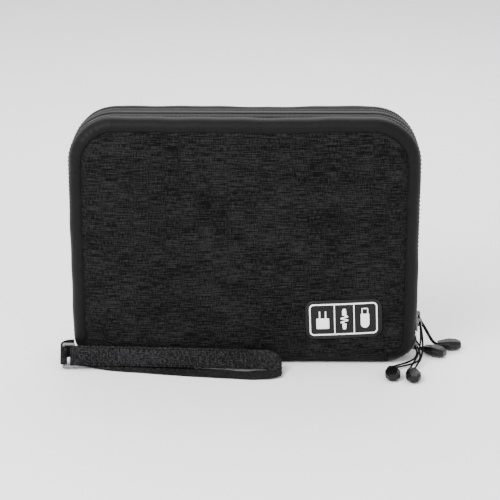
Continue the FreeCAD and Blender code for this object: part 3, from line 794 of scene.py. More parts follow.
class POUCH_OT_spine(bpy.types.Operator):
    """The heather strip along the bottom and the folds that join it to both covers."""
    bl_idname = "pouch.spine"
    bl_label = "Bottom spine"

    def execute(self, context):
        x = np.linspace(SPINE_LOW[0], SPINE_HIGH[0], 90)
        y = np.linspace(SPINE_LOW[1], SPINE_HIGH[1], 9)
        xx, yy = np.meshgrid(x, y, indexing="ij")
        zz = 0.25 * MM * (yy / SPINE_HIGH[1]) ** 4
        points = np.stack([xx, yy, zz], -1)
        obj = new_mesh("spine_cloth", points, grid_faces(*xx.shape), finish("heather"),
                       np.stack([xx, yy], -1))
        face_toward(obj, (0, 0, -1))
        thicken(obj, 1.2 * MM)
        settle(obj, "middle_leaf", "heather_fabric", "bottom_spine")
        for name, sign, body in SIDES:
            reach = np.linspace(-2.2 * MM, 2.2 * MM, 9)
            xx, rr = np.meshgrid(x, reach, indexing="ij")
            points = np.stack([xx, sign * (-ZIP_Y) + rr, np.full(xx.shape, 0.55 * MM)], -1)
            fold = new_mesh(name + "_hinge_fold", points, grid_faces(*xx.shape), finish("heather"),
                            np.stack([xx, rr], -1))
            face_toward(fold, (0, 0, -1))
            thicken(fold, 0.5 * MM)
            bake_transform(fold)
        return {"FINISHED"}


# ---- metal --------------------------------------------------------------
HARDWARE = (("front_slider_upper", "front_zip_slider_upper"),
            ("front_slider_lower", "front_zip_slider_lower"),
            ("rear_slider_upper", "rear_zip_slider_upper"),
            ("rear_slider_lower", "rear_zip_slider_lower"),
            ("d_ring", "ring"), ("zip_end_stops", "middle_leaf"))


def metal_copy(name, body):
    """A rigid CAD piece in its own shape, with softened edges and plated."""
    source = bpy.data.objects[name]
    shown = source.evaluated_get(bpy.context.evaluated_depsgraph_get())
    mesh = bpy.data.meshes.new_from_object(shown)
    mesh.transform(source.matrix_world)
    mesh.materials.clear()
    mesh.materials.append(finish("gunmetal"))
    obj = bpy.data.objects.new(name + "_shown", mesh)
    bpy.context.scene.collection.objects.link(obj)
    work = bmesh.new()
    work.from_mesh(mesh)
    bmesh.ops.remove_doubles(work, verts=work.verts, dist=1e-6)
    bmesh.ops.dissolve_limit(work, angle_limit=math.radians(1), verts=work.verts, edges=work.edges)
    work.to_mesh(mesh)
    work.free()
    mesh.polygons.foreach_set("use_smooth", np.full(len(mesh.polygons), True))
    mesh.set_sharp_from_angle(angle=math.radians(35))
    soft = obj.modifiers.new("edge", "BEVEL")
    soft.width = 0.12 * MM
    soft.segments = 2
    soft.limit_method = "ANGLE"
    soft.angle_limit = math.radians(40)
    soft.harden_normals = True
    return settle(obj, body, "gunmetal", name)


class POUCH_OT_metal(bpy.types.Operator):
    """Sliders, D-ring and zip stops in gunmetal."""
    bl_idname = "pouch.metal"
    bl_label = "Metal"

    def execute(self, context):
        for name, body in HARDWARE:
            metal_copy(name, body)
        return {"FINISHED"}


# ---- pulls --------------------------------------------------------------
CORD_ROUTES = {
    "front_lower": ((103.3, -39.0, 3.6), (104.4, -32.6, 2.0), (110.4, -27.0, 1.5), (117.6, -22.6, 1.7),
                    (123.0, -17.0, 2.4), (124.8, -11.4, 4.9), (122.8, -10.1, 8.3), (122.8, -5.9, 8.3),
                    (125.8, -5.6, 5.4), (126.9, -11.4, 2.6), (125.8, -19.0, 1.5), (120.4, -25.4, 1.5),
                    (112.6, -29.8, 1.5), (107.4, -33.8, 2.1), (105.9, -39.0, 3.6)),
    "front_upper": ((117.2, -42.0, 3.6), (117.6, -36.0, 3.0), (120.4, -30.0, 4.2), (124.2, -24.4, 8.4),
                    (126.0, -18.2, 14.2), (126.6, -12.6, 20.0), (125.9, -10.1, 26.5), (125.9, -5.9, 26.5),
                    (127.5, -5.6, 21.0), (128.2, -9.6, 15.4), (128.0, -16.2, 11.0), (126.8, -23.6, 6.2),
                    (123.0, -30.6, 2.8), (120.6, -36.4, 2.4), (119.8, -42.0, 3.6)),
    "rear_lower": ((130.0, -2.3, 3.6), (127.2, -0.2, 1.9), (126.0, 3.4, 2.6), (125.2, 5.6, 5.2),
                   (122.8, 5.9, 8.3), (122.8, 10.1, 8.3), (125.6, 10.4, 5.4), (127.6, 8.0, 2.4),
                   (128.4, 3.2, 1.9), (131.4, -0.2, 3.6)),
    "rear_upper": ((141.0, 4.8, 3.6), (138.0, 5.9, 4.4), (135.2, 7.2, 8.4), (132.0, 7.0, 14.4),
                   (128.4, 6.4, 20.4), (125.9, 5.9, 26.5), (125.9, 10.1, 26.5), (128.9, 11.0, 20.3),
                   (132.8, 11.6, 13.8), (136.0, 11.0, 7.8), (138.6, 9.0, 4.2), (141.0, 7.4, 3.6)),
}
GRIP_PLACES = {"front_lower": (104.6, -39.0, -92.0), "front_upper": (118.5, -42.0, -90.0),
               "rear_lower": (130.7, -1.25, -34.0), "rear_upper": (141.0, 6.1, 0.0)}


def cord_curve(name, points):
    """A cord on its chosen points: a curve that stays inside its corners, with a round section."""
    line = bpy.data.curves.new(name, "CURVE")
    line.dimensions = "3D"
    spline = line.splines.new("NURBS")
    spline.points.add(len(points) - 1)
    for point, place in zip(spline.points, points):
        point.co = (*(value * MM for value in place), 1.0)
    spline.order_u = 3
    spline.use_endpoint_u = True
    spline.resolution_u = 8
    line.bevel_depth = sizes().cord / 2
    line.bevel_resolution = 3
    line.use_fill_caps = True
    line.materials.append(finish("cord braid"))
    obj = bpy.data.objects.new(name, line)
    bpy.context.scene.collection.objects.link(obj)
    return obj


def grip_points():
    """Eight-sided sections along a grip: narrow neck, wide faceted head, blunt end."""
    stations = ((0, 3.2, 0.56), (0.25, 3.5, 0.62), (8.3, 5.42, 0.985), (8.8, 5.46, 0.985), (13.6, 5.06, 0.9),
                (16.6, 3.2, 0.64), (17, 2.8, 0.56))
    rings = []
    for along, half, share in stations:
        low = 3.7 * (1 - share)
        high = 7.4 - low
        flat = half * 0.6
        shoulder = (high - low) * 0.28
        rings.append([(along, w, z) for w, z in (
            (-half, low + shoulder), (-flat, low), (flat, low), (half, low + shoulder),
            (half, high - shoulder), (flat, high), (-flat, high), (-half, high - shoulder))])
    return np.array(rings) * MM


class POUCH_OT_pulls(bpy.types.Operator):
    """The four pull cords and their faceted rubber grips."""
    bl_idname = "pouch.pulls"
    bl_label = "Zip pulls"

    def execute(self, context):
        for name, points in CORD_ROUTES.items():
            side, level = name.split("_")
            body = f"{side}_pull_{level}"
            obj = cord_curve(name + "_cord", points)
            settle(obj, body, "pull_cord", f"{side}_pull_cord_{level}")
            x, y, heading = GRIP_PLACES[name]
            turn = math.radians(heading)
            rings = grip_points()
            spun = np.stack([x * MM + rings[..., 0] * math.cos(turn) - rings[..., 1] * math.sin(turn),
                             y * MM + rings[..., 0] * math.sin(turn) + rings[..., 1] * math.cos(turn),
                             rings[..., 2]], -1)
            last = (len(rings) - 1) * 8
            faces = [list(f) for f in grid_faces(len(rings), 8, wrap_cols=True)]
            faces += [list(range(8)), list(range(last, last + 8))]
            grip = new_mesh(name + "_grip", spun, faces, finish("grip rubber"), smooth=False)
            turn_outward(grip)
            soft = grip.modifiers.new("edge", "BEVEL")
            soft.width = 0.45 * MM
            soft.segments = 3
            soft.limit_method = "ANGLE"
            soft.angle_limit = math.radians(12)
            settle(grip, body, "pull_grip", f"{side}_pull_grip_{level}")
        return {"FINISHED"}


# ---- badge --------------------------------------------------------------
BADGE_LOW, BADGE_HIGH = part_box("badge")
BADGE_FIT = np.zeros(6)


def badge_terms(x, z):
    """The six terms of a bent surface over the badge: 1, u, v, u squared, u times v, v squared."""
    middle = (BADGE_LOW + BADGE_HIGH) / 2
    u = (np.asarray(x) - middle[0]) / (BADGE_HIGH[0] - BADGE_LOW[0])
    v = (np.asarray(z) - middle[2]) / (BADGE_HIGH[2] - BADGE_LOW[2])
    return np.stack([np.ones_like(u), u, v, u * u, u * v, v * v], -1)


def fit_badge():
    """Fits the bent surface to the face cloth by least squares, then brings it clear of the highest point."""
    face = bpy.data.objects["front_face"]
    cloth = BVHTree.FromObject(face, bpy.context.evaluated_depsgraph_get())
    x, z = np.meshgrid(np.linspace(BADGE_LOW[0], BADGE_HIGH[0], 15),
                       np.linspace(BADGE_LOW[2], BADGE_HIGH[2], 9))
    hits = [cloth.ray_cast(Vector((a, -1.0, b)), Vector((0, 1, 0)))[0] for a, b in zip(x.ravel(), z.ravel())]
    depth = np.array([hit[1] for hit in hits])
    terms = badge_terms(x.ravel(), z.ravel())
    BADGE_FIT[:] = np.linalg.lstsq(terms, depth, rcond=None)[0]
    BADGE_FIT[0] += float((depth - terms @ BADGE_FIT).min())


def badge_surface(x, z):
    """Depth of the face cloth under the badge."""
    return badge_terms(x, z) @ BADGE_FIT


def badge_lean(x, z):
    """The badge's own frame: turned a little against the pouch."""
    middle = (BADGE_LOW + BADGE_HIGH) / 2
    a = math.radians(2.4)
    return (middle[0] + x * math.cos(a) - z * math.sin(a), middle[2] + x * math.sin(a) + z * math.cos(a))


def rounded_ring(width, height, radius, corner=7, side=10):
    """Points round a rounded rectangle, with the sides divided too."""
    out = []
    for k, (sx, sz) in enumerate(((1, 1), (-1, 1), (-1, -1), (1, -1))):
        a = np.radians(np.linspace(90 * k, 90 * k + 90, corner))
        cx, cz = sx * (width / 2 - radius), sz * (height / 2 - radius)
        arc = np.stack([cx + radius * np.cos(a), cz + radius * np.sin(a)], -1)
        nx, nz = ((-1, 1), (-1, -1), (1, -1), (1, 1))[k]
        follow = np.array([nx * (width / 2 - radius) + radius * math.cos(a[-1]),
                           nz * (height / 2 - radius) + radius * math.sin(a[-1])])
        t = np.linspace(0, 1, side, endpoint=False)[1:, None]
        out += [arc, arc[-1] * (1 - t) + follow * t]
    return np.concatenate(out)


def raised(name, outer, profile, material, hole=None):
    """A moulded plate or frame on the badge, from rings of (shrink, height) from the edge in."""
    rings = []
    for scale, lift in profile:
        pts = outer * (1 - scale) + (hole if hole is not None else np.zeros_like(outer)) * scale
        x, z = badge_lean(pts[:, 0], pts[:, 1])
        rings.append(np.stack([x, badge_surface(x, z) - lift, z], -1))
    rings = np.array(rings)
    faces = grid_faces(len(rings), rings.shape[1], wrap_cols=True)
    obj = new_mesh(name, rings, faces, finish(material))
    face_toward(obj, (0, -1, 0))
    return obj


def bar(name, corners, lift0, lift1, material):
    """A raised stroke or patch from a closed outline on the badge, with a sloped rim and a flat top."""
    pts = np.array(corners, dtype=float) * MM
    centre = pts.mean(0)
    count = len(pts)
    rows = []
    for shrink, lift in ((0.0, lift0), (0.0, lift1 - 0.1 * MM), (0.06, lift1)):
        p = centre + (pts - centre) * (1 - shrink)
        x, z = badge_lean(p[:, 0], p[:, 1])
        rows.append(np.stack([x, badge_surface(x, z) - lift, z], -1))
    faces = [list(f) for f in grid_faces(3, count, wrap_cols=True)] + [list(range(2 * count, 3 * count))]
    obj = new_mesh(name, np.array(rows), faces, finish(material), smooth=False)
    turn_outward(obj)
    return obj


def arc_points(cx, cz, radius, start, end, count):
    """Points along an arc, with its two ends in degrees."""
    a = np.radians(np.linspace(start, end, count))
    return [(cx + radius * math.cos(k), cz + radius * math.sin(k)) for k in a]


def stroke_strip(name, points, width, lift0, lift1, material):
    """A raised line with flat top and straight sides along the points."""
    p = np.array(points, dtype=float)
    ahead = np.gradient(p, axis=0)
    ahead /= np.linalg.norm(ahead, axis=1, keepdims=True)
    side = np.stack([-ahead[:, 1], ahead[:, 0]], -1) * width / 2
    rows = []
    shoulder = lift1 - 0.08 * MM
    section = ((1.0, lift0), (1.0, shoulder), (0.8, lift1), (-0.8, lift1), (-1.0, shoulder), (-1.0, lift0))
    for k, lift in section:
        q = (p + side * k) * MM
        x, z = badge_lean(q[:, 0], q[:, 1])
        rows.append(np.stack([x, badge_surface(x, z) - lift, z], -1))
    rows = np.array(rows)
    count = rows.shape[1]
    faces = [list(f) for f in grid_faces(6, count)]
    faces += [[k * count for k in range(6)], [k * count + count - 1 for k in range(5, -1, -1)]]
    obj = new_mesh(name, rows, faces, finish(material), smooth=False)
    turn_outward(obj)
    return obj


class POUCH_OT_badge(bpy.types.Operator):
    """The rubber patch with its white framed strip of three plain pictures."""
    bl_idname = "pouch.badge"
    bl_label = "Badge"

    def execute(self, context):
        fit_badge()
        width, height = 54.4 * MM, 29.0 * MM
        outer = rounded_ring(width, height, 6.5 * MM)
        rim = [(0.0, -3.2 * MM), (0.0, 0.5 * MM), (0.012, 1.0 * MM), (0.05, 1.15 * MM), (0.085, 0.95 * MM),
               (0.10, 0.62 * MM), (0.5, 0.6 * MM), (0.999, 0.6 * MM)]
        plate = raised("badge_plate", outer, rim, "patch rubber")
        settle(plate, "front_cover", "badge_rubber", "badge")
        low, high = 0.45 * MM, 1.05 * MM
        frame_out = rounded_ring(48.2 * MM, 23.8 * MM, 3.2 * MM)
        frame_in = rounded_ring(46.2 * MM, 21.8 * MM, 2.3 * MM)
        shoulder = high - 0.1 * MM
        frame_profile = [(0.0, low), (0.0, shoulder), (0.1, high), (0.9, high), (1.0, shoulder), (1.0, low)]
        made = [raised("badge_frame", frame_out, frame_profile, "patch white", hole=frame_in)]
        for k, x in enumerate((-6.3, 7.5)):
            made.append(stroke_strip(f"badge_divider_{k}", [(x, -11.2), (x, 0), (x, 11.2)], 0.8, low, high,
                                     "patch white"))
        made += self.plug(-14.7, low, high) + self.lead(0.6, low, high) + self.stick(15.2, low, high)
        for obj in made:
            settle(obj, "front_cover", "badge_white")
        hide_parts("badge_inlay")
        return {"FINISHED"}

    def plug(self, x, low, high):
        """A charger that stands on its body: a square block with two round-cornered prongs."""
        body = [(x - 4.2, -6.8), (x + 4.2, -6.8), (x + 4.5, -6.4), (x + 4.5, 0.7),
                (x + 4.2, 1.1), (x - 4.2, 1.1), (x - 4.5, 0.7), (x - 4.5, -6.4)]
        made = [bar("plug_body", body, low, high, "patch white")]
        for k, dx in enumerate((-2.1, 2.1)):
            prong = [(x + dx, 1.0), (x + dx, 3.6), (x + dx, 6.4)]
            made.append(stroke_strip(f"plug_prong_{k}", prong, 0.9, low, high, "patch white"))
        return made

    def lead(self, x, low, high):
        """A lead that winds between two small connectors, one above and one below."""
        t = np.linspace(0, 1, 48)
        line = [(x + 2.4 * math.sin(4 * math.pi * k), 2.6 - 5.6 * k) for k in t]
        head = [(x - 1.5, 2.8), (x + 1.5, 2.8), (x + 1.5, 5.8), (x + 1.0, 7.8), (x - 1.0, 7.8),
                (x - 1.5, 5.8)]
        foot = [(x - 0.9, -7.8), (x + 0.9, -7.8), (x + 1.4, -5.8), (x + 1.4, -3.4), (x - 1.4, -3.4),
                (x - 1.4, -5.8)]
        return [stroke_strip("lead_line", line, 0.8, low, high, "patch white"),
                bar("lead_head", head, low, high, "patch white"),
                bar("lead_foot", foot, low, high, "patch white")]

    def stick(self, x, low, high):
        """A memory stick that stands on its rounded end, with an open connector on top."""
        body = [(x + 3.0, 3.4), (x - 3.0, 3.4)] + arc_points(x, -4.2, 3.0, 180, 360, 13)
        cap = [(x - 2.0, 3.2), (x - 2.0, 5.0), (x - 2.0, 7.4), (x, 7.4), (x + 2.0, 7.4), (x + 2.0, 5.0),
               (x + 2.0, 3.2)]
        return [bar("stick_body", body, low, high, "patch white"),
                stroke_strip("stick_connector", cap, 0.8, low, high, "patch white")]


# ---- strap --------------------------------------------------------------
LEAN = math.radians(25.0)
ALONG = np.array([0.0, math.sin(LEAN), math.cos(LEAN)])
OUTWARD = np.array([0.0, -math.cos(LEAN), math.sin(LEAN)])
SIDEWAYS = np.array([1.0, 0.0, 0.0])
RING_LOW, RING_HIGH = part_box("d_ring")
RING_WIRE = 1.0 * MM
RING_BOW = np.array([RING_HIGH[0] - RING_WIRE, (RING_LOW[1] + RING_HIGH[1]) / 2,
                     (RING_LOW[2] + RING_HIGH[2]) / 2])
RING_BAR = np.array([RING_LOW[0] + RING_WIRE, RING_BOW[1], RING_BOW[2]])
TURN = 1.9 * MM


def strap_stations():
    """Centre, width direction and thickness direction along the loop of the wrist strap, in the row frame."""
    out = []
    for step in ((129.6, -4.1, -0.8), (101.6, -2.9, -0.6), (61.6, -1.9, -0.2), (21.6, -1.5, 0.6)):
        out.append((RING_BOW + np.array(step) * MM, ALONG, -OUTWARD))
    for degrees in range(90, 271, 30):
        a = math.radians(degrees)
        away = SIDEWAYS * math.cos(a) + OUTWARD * math.sin(a)
        out.append((RING_BOW + away * TURN, ALONG, -away))
    half = sizes().strap_width / 2
    for dx, dy, wy, wz in ((25.6, -5.5, 0.75, 0.66), (41.6, -8.5, 0.97, 0.25), (71.6, -13.5, 1.0, 0.02),
                           (106.6, -18.5, 1.0, 0.0), (129.6, -20.5, 1.0, 0.0)):
        w = np.array([0, wy, wz]) / math.hypot(wy, wz)
        edge = np.array([RING_BOW[0] + dx * MM, RING_BOW[1] + dy * MM, (0.6 * w[1] + 0.05) * MM])
        out.append((edge + w * half, w, np.array([0, -w[2], w[1]])))
    for (dx, dy, z), w, t in (((140.6, -13.0, 1.9), (0, 0.99, 0.08), (-0.45, -0.07, 0.9)),
                              ((147.6, -10.0, 5.4), (0, 0.85, 0.52), (-1, 0, 0)),
                              ((141.1, -6.1, 8.6), (0, 0.55, 0.83), (-0.5, 0.72, -0.45))):
        centre = np.array([RING_BOW[0] + dx * MM, RING_BOW[1] + dy * MM, z * MM])
        out.append((centre, np.array(w), np.array(t)))
    out.append((RING_BOW + np.array([129.9, -4.1, -0.8]) * MM, ALONG, -OUTWARD))
    return out


def tab_stations():
    """The same for the short tab that holds the ring's bar."""
    z = RING_BAR[2]
    out = []
    for beyond, behind, w, t in ((0.0, 6.5, (0, 0, 1.0), (0, -1.0, 0)),
                                 (5.0, 4.7, (0, 0.1, 1), (0.4, -1, 0.1)),
                                 (8.4, -0.6, (0, 0.25, 1), (1, -0.6, 0.15))):
        out.append((np.array([-HALF - beyond * MM, FRONT + behind * MM, z]), np.array(w), np.array(t)))
    for degrees in range(170, 351, 30):
        a = math.radians(degrees)
        away = SIDEWAYS * math.cos(a) - OUTWARD * math.sin(a)
        out.append((RING_BAR + away * TURN, ALONG, -away))
    return out


def smooth_line(stations, step):
    """Passes a smooth line through the stations by cubic pieces on chord length, in even steps."""
    centres = np.array([s[0] for s in stations])
    packed = np.concatenate([centres, np.array([s[1] / np.linalg.norm(s[1]) for s in stations]),
                             np.array([s[2] / np.linalg.norm(s[2]) for s in stations])], 1)
    chord = np.concatenate([[0], np.cumsum(np.linalg.norm(np.diff(centres, axis=0), axis=1))])
    slopes = np.gradient(packed, chord, axis=0)
    s = path_steps(0, chord[-1], step)
    k = np.clip(np.searchsorted(chord, s, side="right") - 1, 0, len(chord) - 2)
    span = (chord[k + 1] - chord[k])[:, None]
    t = ((s - chord[k])[:, None]) / span
    p0, p1, m0, m1 = packed[k], packed[k + 1], slopes[k] * span, slopes[k + 1] * span
    out = ((2 * t ** 3 - 3 * t ** 2 + 1) * p0 + (t ** 3 - 2 * t ** 2 + t) * m0
           + (-2 * t ** 3 + 3 * t ** 2) * p1 + (t ** 3 - t ** 2) * m1)
    centre, w, n = out[:, :3], out[:, 3:6], out[:, 6:]
    w = w / np.linalg.norm(w, axis=1, keepdims=True)
    n = n - (n * w).sum(1, keepdims=True) * w
    return s, centre, w, n / np.linalg.norm(n, axis=1, keepdims=True)


def band(name, line, width, thick, closed, material):
    """A woven band: a closed section with rounded edges and a little wave, carried along a line."""
    s, centre, w, n = line
    a = np.linspace(0, 2 * math.pi, 24, endpoint=False) + math.pi / 24
    across = np.sign(np.cos(a)) * np.abs(np.cos(a)) ** 0.35 * width / 2
    deep = np.sign(np.sin(a)) * np.abs(np.sin(a)) ** 0.35 * thick / 2
    sway = ripple(s, ((0.061, 0.25), (0.023, 0.12)), 5) * MM
    points = centre[:, None] + w[:, None] * (across[None, :, None]) + n[:, None] * (
        deep[None, :, None] + (sway[:, None] * (across / width * 2)[None, :])[..., None] * 0.5)
    around = np.concatenate([[0], np.cumsum(np.hypot(np.diff(across), np.diff(deep)))])
    faces = [list(f) for f in grid_faces(len(s), 24, wrap_rows=closed, wrap_cols=True)]
    if not closed:
        last = (len(s) - 1) * 24
        faces += [list(range(24)), list(range(last, last + 24))]
    grid = np.stack(np.meshgrid(s, around, indexing="ij"), -1)
    obj = new_mesh(name, points, faces, finish(material), grid)
    turn_outward(obj)
    return obj


def sewn_rows(name, line, rows, lift, material):
    """Stitches on one face of a band. Each row is (start, end, across at the start, across at the end)."""
    s, centre, w, n = line
    pitch = 2.4 * MM
    t = np.array([0.0, 0.12, 0.35, 0.65, 0.88, 1.0])
    fat = np.array([0.2, 0.8, 1, 1, 0.8, 0.2]) * 0.24 * MM
    around = np.linspace(0, 2 * math.pi, TUBE_SIDES, endpoint=False)
    every = []
    for start, end, across0, across1 in rows:
        run = math.hypot(end - start, across1 - across0)
        count = max(1, int(run / pitch))
        k = (np.arange(count)[:, None] + 0.12 + 0.76 * t[None, :]) / count
        along = start + (end - start) * k
        across = across0 + (across1 - across0) * k
        place = np.stack([np.interp(along, s, centre[:, i]) for i in range(3)], -1)
        wide = np.stack([np.interp(along, s, w[:, i]) for i in range(3)], -1)
        high = np.stack([np.interp(along, s, n[:, i]) for i in range(3)], -1)
        place = place + wide * across[..., None] + high * lift
        ahead = np.gradient(place, axis=1)
        ahead /= np.linalg.norm(ahead, axis=2, keepdims=True)
        flat = np.cross(ahead, high)
        every.append(place[:, :, None] + fat[None, :, None, None] * (
            flat[:, :, None] * np.cos(around)[None, None, :, None]
            + high[:, :, None] * np.sin(around)[None, None, :, None]))
    points = np.concatenate(every)
    one = grid_faces(len(t), TUBE_SIDES, wrap_cols=True)
    faces = (one[None] + (np.arange(len(points)) * len(t) * TUBE_SIDES)[:, None, None]).reshape(-1, 4)
    obj = new_mesh(name, points, faces, finish(material))
    turn_outward(obj)
    return obj


class POUCH_OT_strap(bpy.types.Operator):
    """The wrist strap, its stitched box by the ring, and the tab."""
    bl_idname = "pouch.strap"
    bl_label = "Wrist strap"

    def execute(self, context):
        width = sizes().strap_width
        stations = strap_stations()
        line = smooth_line(stations, 1.5 * MM)
        line = tuple(part[:-1] if k < 4 else part for k, part in enumerate(line))
        loop = band("wrist_strap_band", line, width, 1.2 * MM, True, "webbing")
        settle(loop, "strap", "plain_nylon", "wrist_strap")
        edge = width / 2 - 1.5 * MM
        upper = 108.0 * MM
        outer = -0.70 * MM
        first, last = upper - 6.0 * MM, upper + 13.0 * MM
        rows = [(2.0 * MM, upper + 14.0 * MM, edge, edge), (2.0 * MM, upper + 14.0 * MM, -edge, -edge),
                (first, first + 0.01 * MM, -edge, edge), (last, last + 0.01 * MM, -edge, edge),
                (first, last, -edge, edge), (first, last, edge, -edge)]
        settle(sewn_rows("wrist_strap_stitches", line, rows, outer, "cord braid"), "strap", "zip_tape")
        short = smooth_line(tab_stations(), 0.8 * MM)
        tab = band("ring_tab", short, width - 1.0 * MM, 1.2 * MM, False, "webbing")
        settle(tab, "front_cover", "plain_nylon", "strap_tab")
        return {"FINISHED"}


# ---- inside -------------------------------------------------------------
# Node, body, finish, slot, sheet thickness, corner radii at the top and bottom, and waviness.
INNER_SHEETS = (
    ("front_lining", "front_cover", "lining cloth", "lining", 0.4, 29.0, 16.0, 0.05),
    ("rear_lining", "rear_cover", "lining cloth", "lining", 0.4, 29.0, 16.0, 0.05),
    ("front_foam", "front_cover", "foam cells", "foam", 2.0, 29.0, 16.0, 0.05),
    ("rear_foam", "rear_cover", "foam cells", "foam", 2.0, 29.0, 16.0, 0.05),
    ("divider_board", "middle_leaf", "lining cloth", "lining", 3.0, 31.5, 18.5, 0.08),
    ("front_pocket_mesh", "front_cover", "pocket net", "pocket_mesh", 0.3, 4.0, 4.0, 0.04),
    ("rear_pocket_mesh", "rear_cover", "pocket net", "pocket_mesh", 0.3, 4.0, 4.0, 0.04),
    ("divider_pocket_mesh", "middle_leaf", "pocket net", "pocket_mesh", 0.3, 4.0, 4.0, 0.04),
    ("front_pocket_binding", "front_cover", "elastic web", "elastic", 0.9, 1.5, 1.5, 0.04),
    ("rear_pocket_binding", "rear_cover", "elastic web", "elastic", 0.9, 1.5, 1.5, 0.04),
    ("divider_pocket_binding", "middle_leaf", "elastic web", "elastic", 0.9, 1.5, 1.5, 0.04),
)


def rounded_sheet(low, high, top, bottom, wave, seed):
    """A flat sheet as a grid: half width falls off by a quarter round at each corner; soft waves in depth."""
    z0, z1, half = low[2], high[2], high[0]
    turn_low = z0 + bottom * (1 - np.cos(np.linspace(0, math.pi / 2, 9)))
    turn_high = z1 - top * (1 - np.cos(np.linspace(math.pi / 2, 0, 9)))
    tall = turn_high[0] - turn_low[-1] > 5 * MM
    middle = path_steps(turn_low[-1], turn_high[0], 4.0 * MM)[1:-1] if tall else []
    z = np.concatenate([turn_low, middle, turn_high])
    cut_low = bottom - np.sqrt(np.maximum(bottom ** 2 - np.clip(z0 + bottom - z, 0, bottom) ** 2, 0))
    cut_high = top - np.sqrt(np.maximum(top ** 2 - np.clip(z - (z1 - top), 0, top) ** 2, 0))
    u = np.linspace(-1, 1, 60)
    x = (half - cut_low - cut_high)[:, None] * u[None, :]
    zz = np.broadcast_to(z[:, None], x.shape)
    uneven = ripple(x, ((0.07, 0.5), (0.031, 0.3)), seed) + ripple(zz, ((0.05, 0.5),), seed)
    y = (low[1] + high[1]) / 2 + wave * uneven
    return np.stack([x, y, zz], -1)


def loops_line(low, high):
    """Elastic sewn down at even places: between them it stands off as a flattened half wave."""
    x = np.linspace(low[0], high[0], 241)
    phase = (x - low[0]) / (high[0] - low[0]) * 8 * math.pi
    reach = high[1] - low[1] - 0.7 * MM
    y = high[1] - 0.35 * MM - reach * np.abs(np.sin(phase)) ** 0.55
    return x, y


class POUCH_OT_inside(bpy.types.Operator):
    """Linings, foam, divider board, net pockets with bound tops, and elastic loops."""
    bl_idname = "pouch.inside"
    bl_label = "Inside"

    def execute(self, context):
        for number, (name, body, look, slot, thick, top, bottom, wave) in enumerate(INNER_SHEETS):
            low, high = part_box(name)
            points = rounded_sheet(low, high, top * MM, bottom * MM, wave * MM, number)
            obj = new_mesh(name + "_shown", points, grid_faces(*points.shape[:2]), finish(look))
            face_toward(obj, (0, -1, 0))
            thicken(obj, min(thick * MM, (high[1] - low[1]) * 0.95), 0.0)
            settle(obj, body, slot, name)
        for name in ("elastic_loops_upper", "elastic_loops_lower"):
            low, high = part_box(name)
            x, y = loops_line(low, high)
            z = np.linspace(low[2], high[2], 9)
            points = np.stack(np.broadcast_arrays(x[:, None], y[:, None], z[None, :]), -1)
            obj = new_mesh(name + "_shown", points, grid_faces(len(x), 9), finish("elastic web"))
            face_toward(obj, (0, -1, 0))
            thicken(obj, 0.6 * MM, 0.0)
            settle(obj, "middle_leaf", "elastic", name)
        return {"FINISHED"}


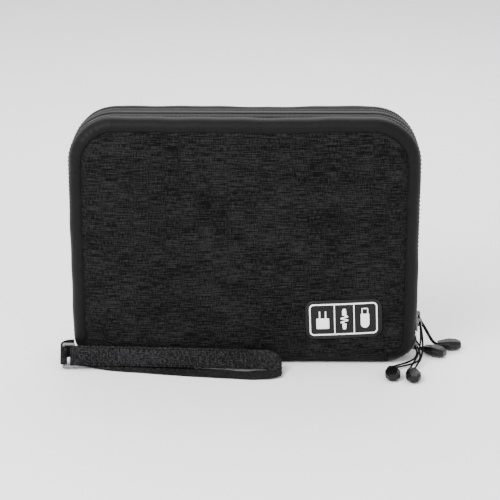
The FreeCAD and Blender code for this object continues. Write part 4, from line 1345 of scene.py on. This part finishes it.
# ---- stage --------------------------------------------------------------
class POUCH_OT_stage(bpy.types.Operator):
    """Camera in front and a little above, soft studio light and a pale floor."""
    bl_idname = "pouch.stage"
    bl_label = "Stage"

    def execute(self, context):
        scene = context.scene
        lens = bpy.data.cameras.new("camera")
        lens.lens = 120
        lens.sensor_width = 36
        eye = bpy.data.objects.new("camera", lens)
        scene.collection.objects.link(eye)
        target = Vector((3.9 * MM, FRONT, 86.6 * MM))
        turn, rise, away = math.radians(0.5), math.radians(19), 1.167
        back = Vector((math.sin(turn) * math.cos(rise), -math.cos(turn) * math.cos(rise), math.sin(rise)))
        eye.location = target + back * away
        eye.rotation_euler = back.to_track_quat("Z", "Y").to_euler()
        scene.camera = eye
        world = bpy.data.worlds.new("studio")
        world.use_nodes = True
        world.node_tree.nodes["Background"].inputs["Color"].default_value = (1, 1, 1, 1)
        world.node_tree.nodes["Background"].inputs["Strength"].default_value = 1.5
        scene.world = world
        lamps = (("key", (-0.55, -0.75, 0.95), 0.7, 26.0), ("fill", (0.8, -0.9, 0.6), 0.9, 6.0),
                 ("back", (0.1, 0.7, 0.9), 0.8, 9.0))
        for name, place, size, power in lamps:
            lamp = bpy.data.lights.new(name, "AREA")
            lamp.size = size
            lamp.energy = power
            shown = bpy.data.objects.new(name, lamp)
            scene.collection.objects.link(shown)
            shown.location = place
            shown.rotation_euler = (Vector(place) - target).to_track_quat("Z", "Y").to_euler()
        half = 3.0
        floor = bpy.data.meshes.new("floor")
        corners = [(-half, -half, 0), (half, -half, 0), (half, half, 0), (-half, half, 0)]
        floor.from_pydata(corners, [], [(0, 1, 2, 3)])
        ground = bpy.data.objects.new("floor", floor)
        ground.location.z = -0.1 * MM
        scene.collection.objects.link(ground)
        paper = moulded("pale paper", (0.88, 0.88, 0.88), (0.92, 0.92, 0.92), 0.75, 6, 0.00001)
        floor.materials.append(paper)
        return {"FINISHED"}


class POUCH_OT_finishes(bpy.types.Operator):
    """All materials."""
    bl_idname = "pouch.finishes"
    bl_label = "Finishes"

    def execute(self, context):
        make_finishes()
        return {"FINISHED"}


class POUCH_PT_panel(bpy.types.Panel):
    """Sidebar panel with every step and size."""
    bl_idname = "POUCH_PT_panel"
    bl_label = "Cable Pouch"
    bl_space_type = "VIEW_3D"
    bl_region_type = "UI"
    bl_category = "Pouch"

    def draw(self, context):
        for settings in (context.scene.pouch_sizes, context.scene.pouch_colours):
            for name in settings.__annotations__:
                self.layout.prop(settings, name)
        for step in STEPS:
            self.layout.operator(step.bl_idname)


STEPS = (POUCH_OT_finishes, POUCH_OT_stage, POUCH_OT_pulls, POUCH_OT_faces, POUCH_OT_bands, POUCH_OT_zips,
         POUCH_OT_spine, POUCH_OT_metal, POUCH_OT_badge, POUCH_OT_strap, POUCH_OT_inside)
CLASSES = (PouchSizes, PouchColours, *STEPS, POUCH_PT_panel)


def register():
    for cls in CLASSES:
        bpy.utils.register_class(cls)
    bpy.types.Scene.pouch_sizes = bpy.props.PointerProperty(type=PouchSizes)
    bpy.types.Scene.pouch_colours = bpy.props.PointerProperty(type=PouchColours)


def unregister():
    del bpy.types.Scene.pouch_sizes
    del bpy.types.Scene.pouch_colours
    for cls in reversed(CLASSES):
        bpy.utils.unregister_class(cls)


def main():
    register()
    for step in STEPS:
        group, name = step.bl_idname.split(".")
        getattr(getattr(bpy.ops, group), name)()


if __name__ == "__main__":
    main()
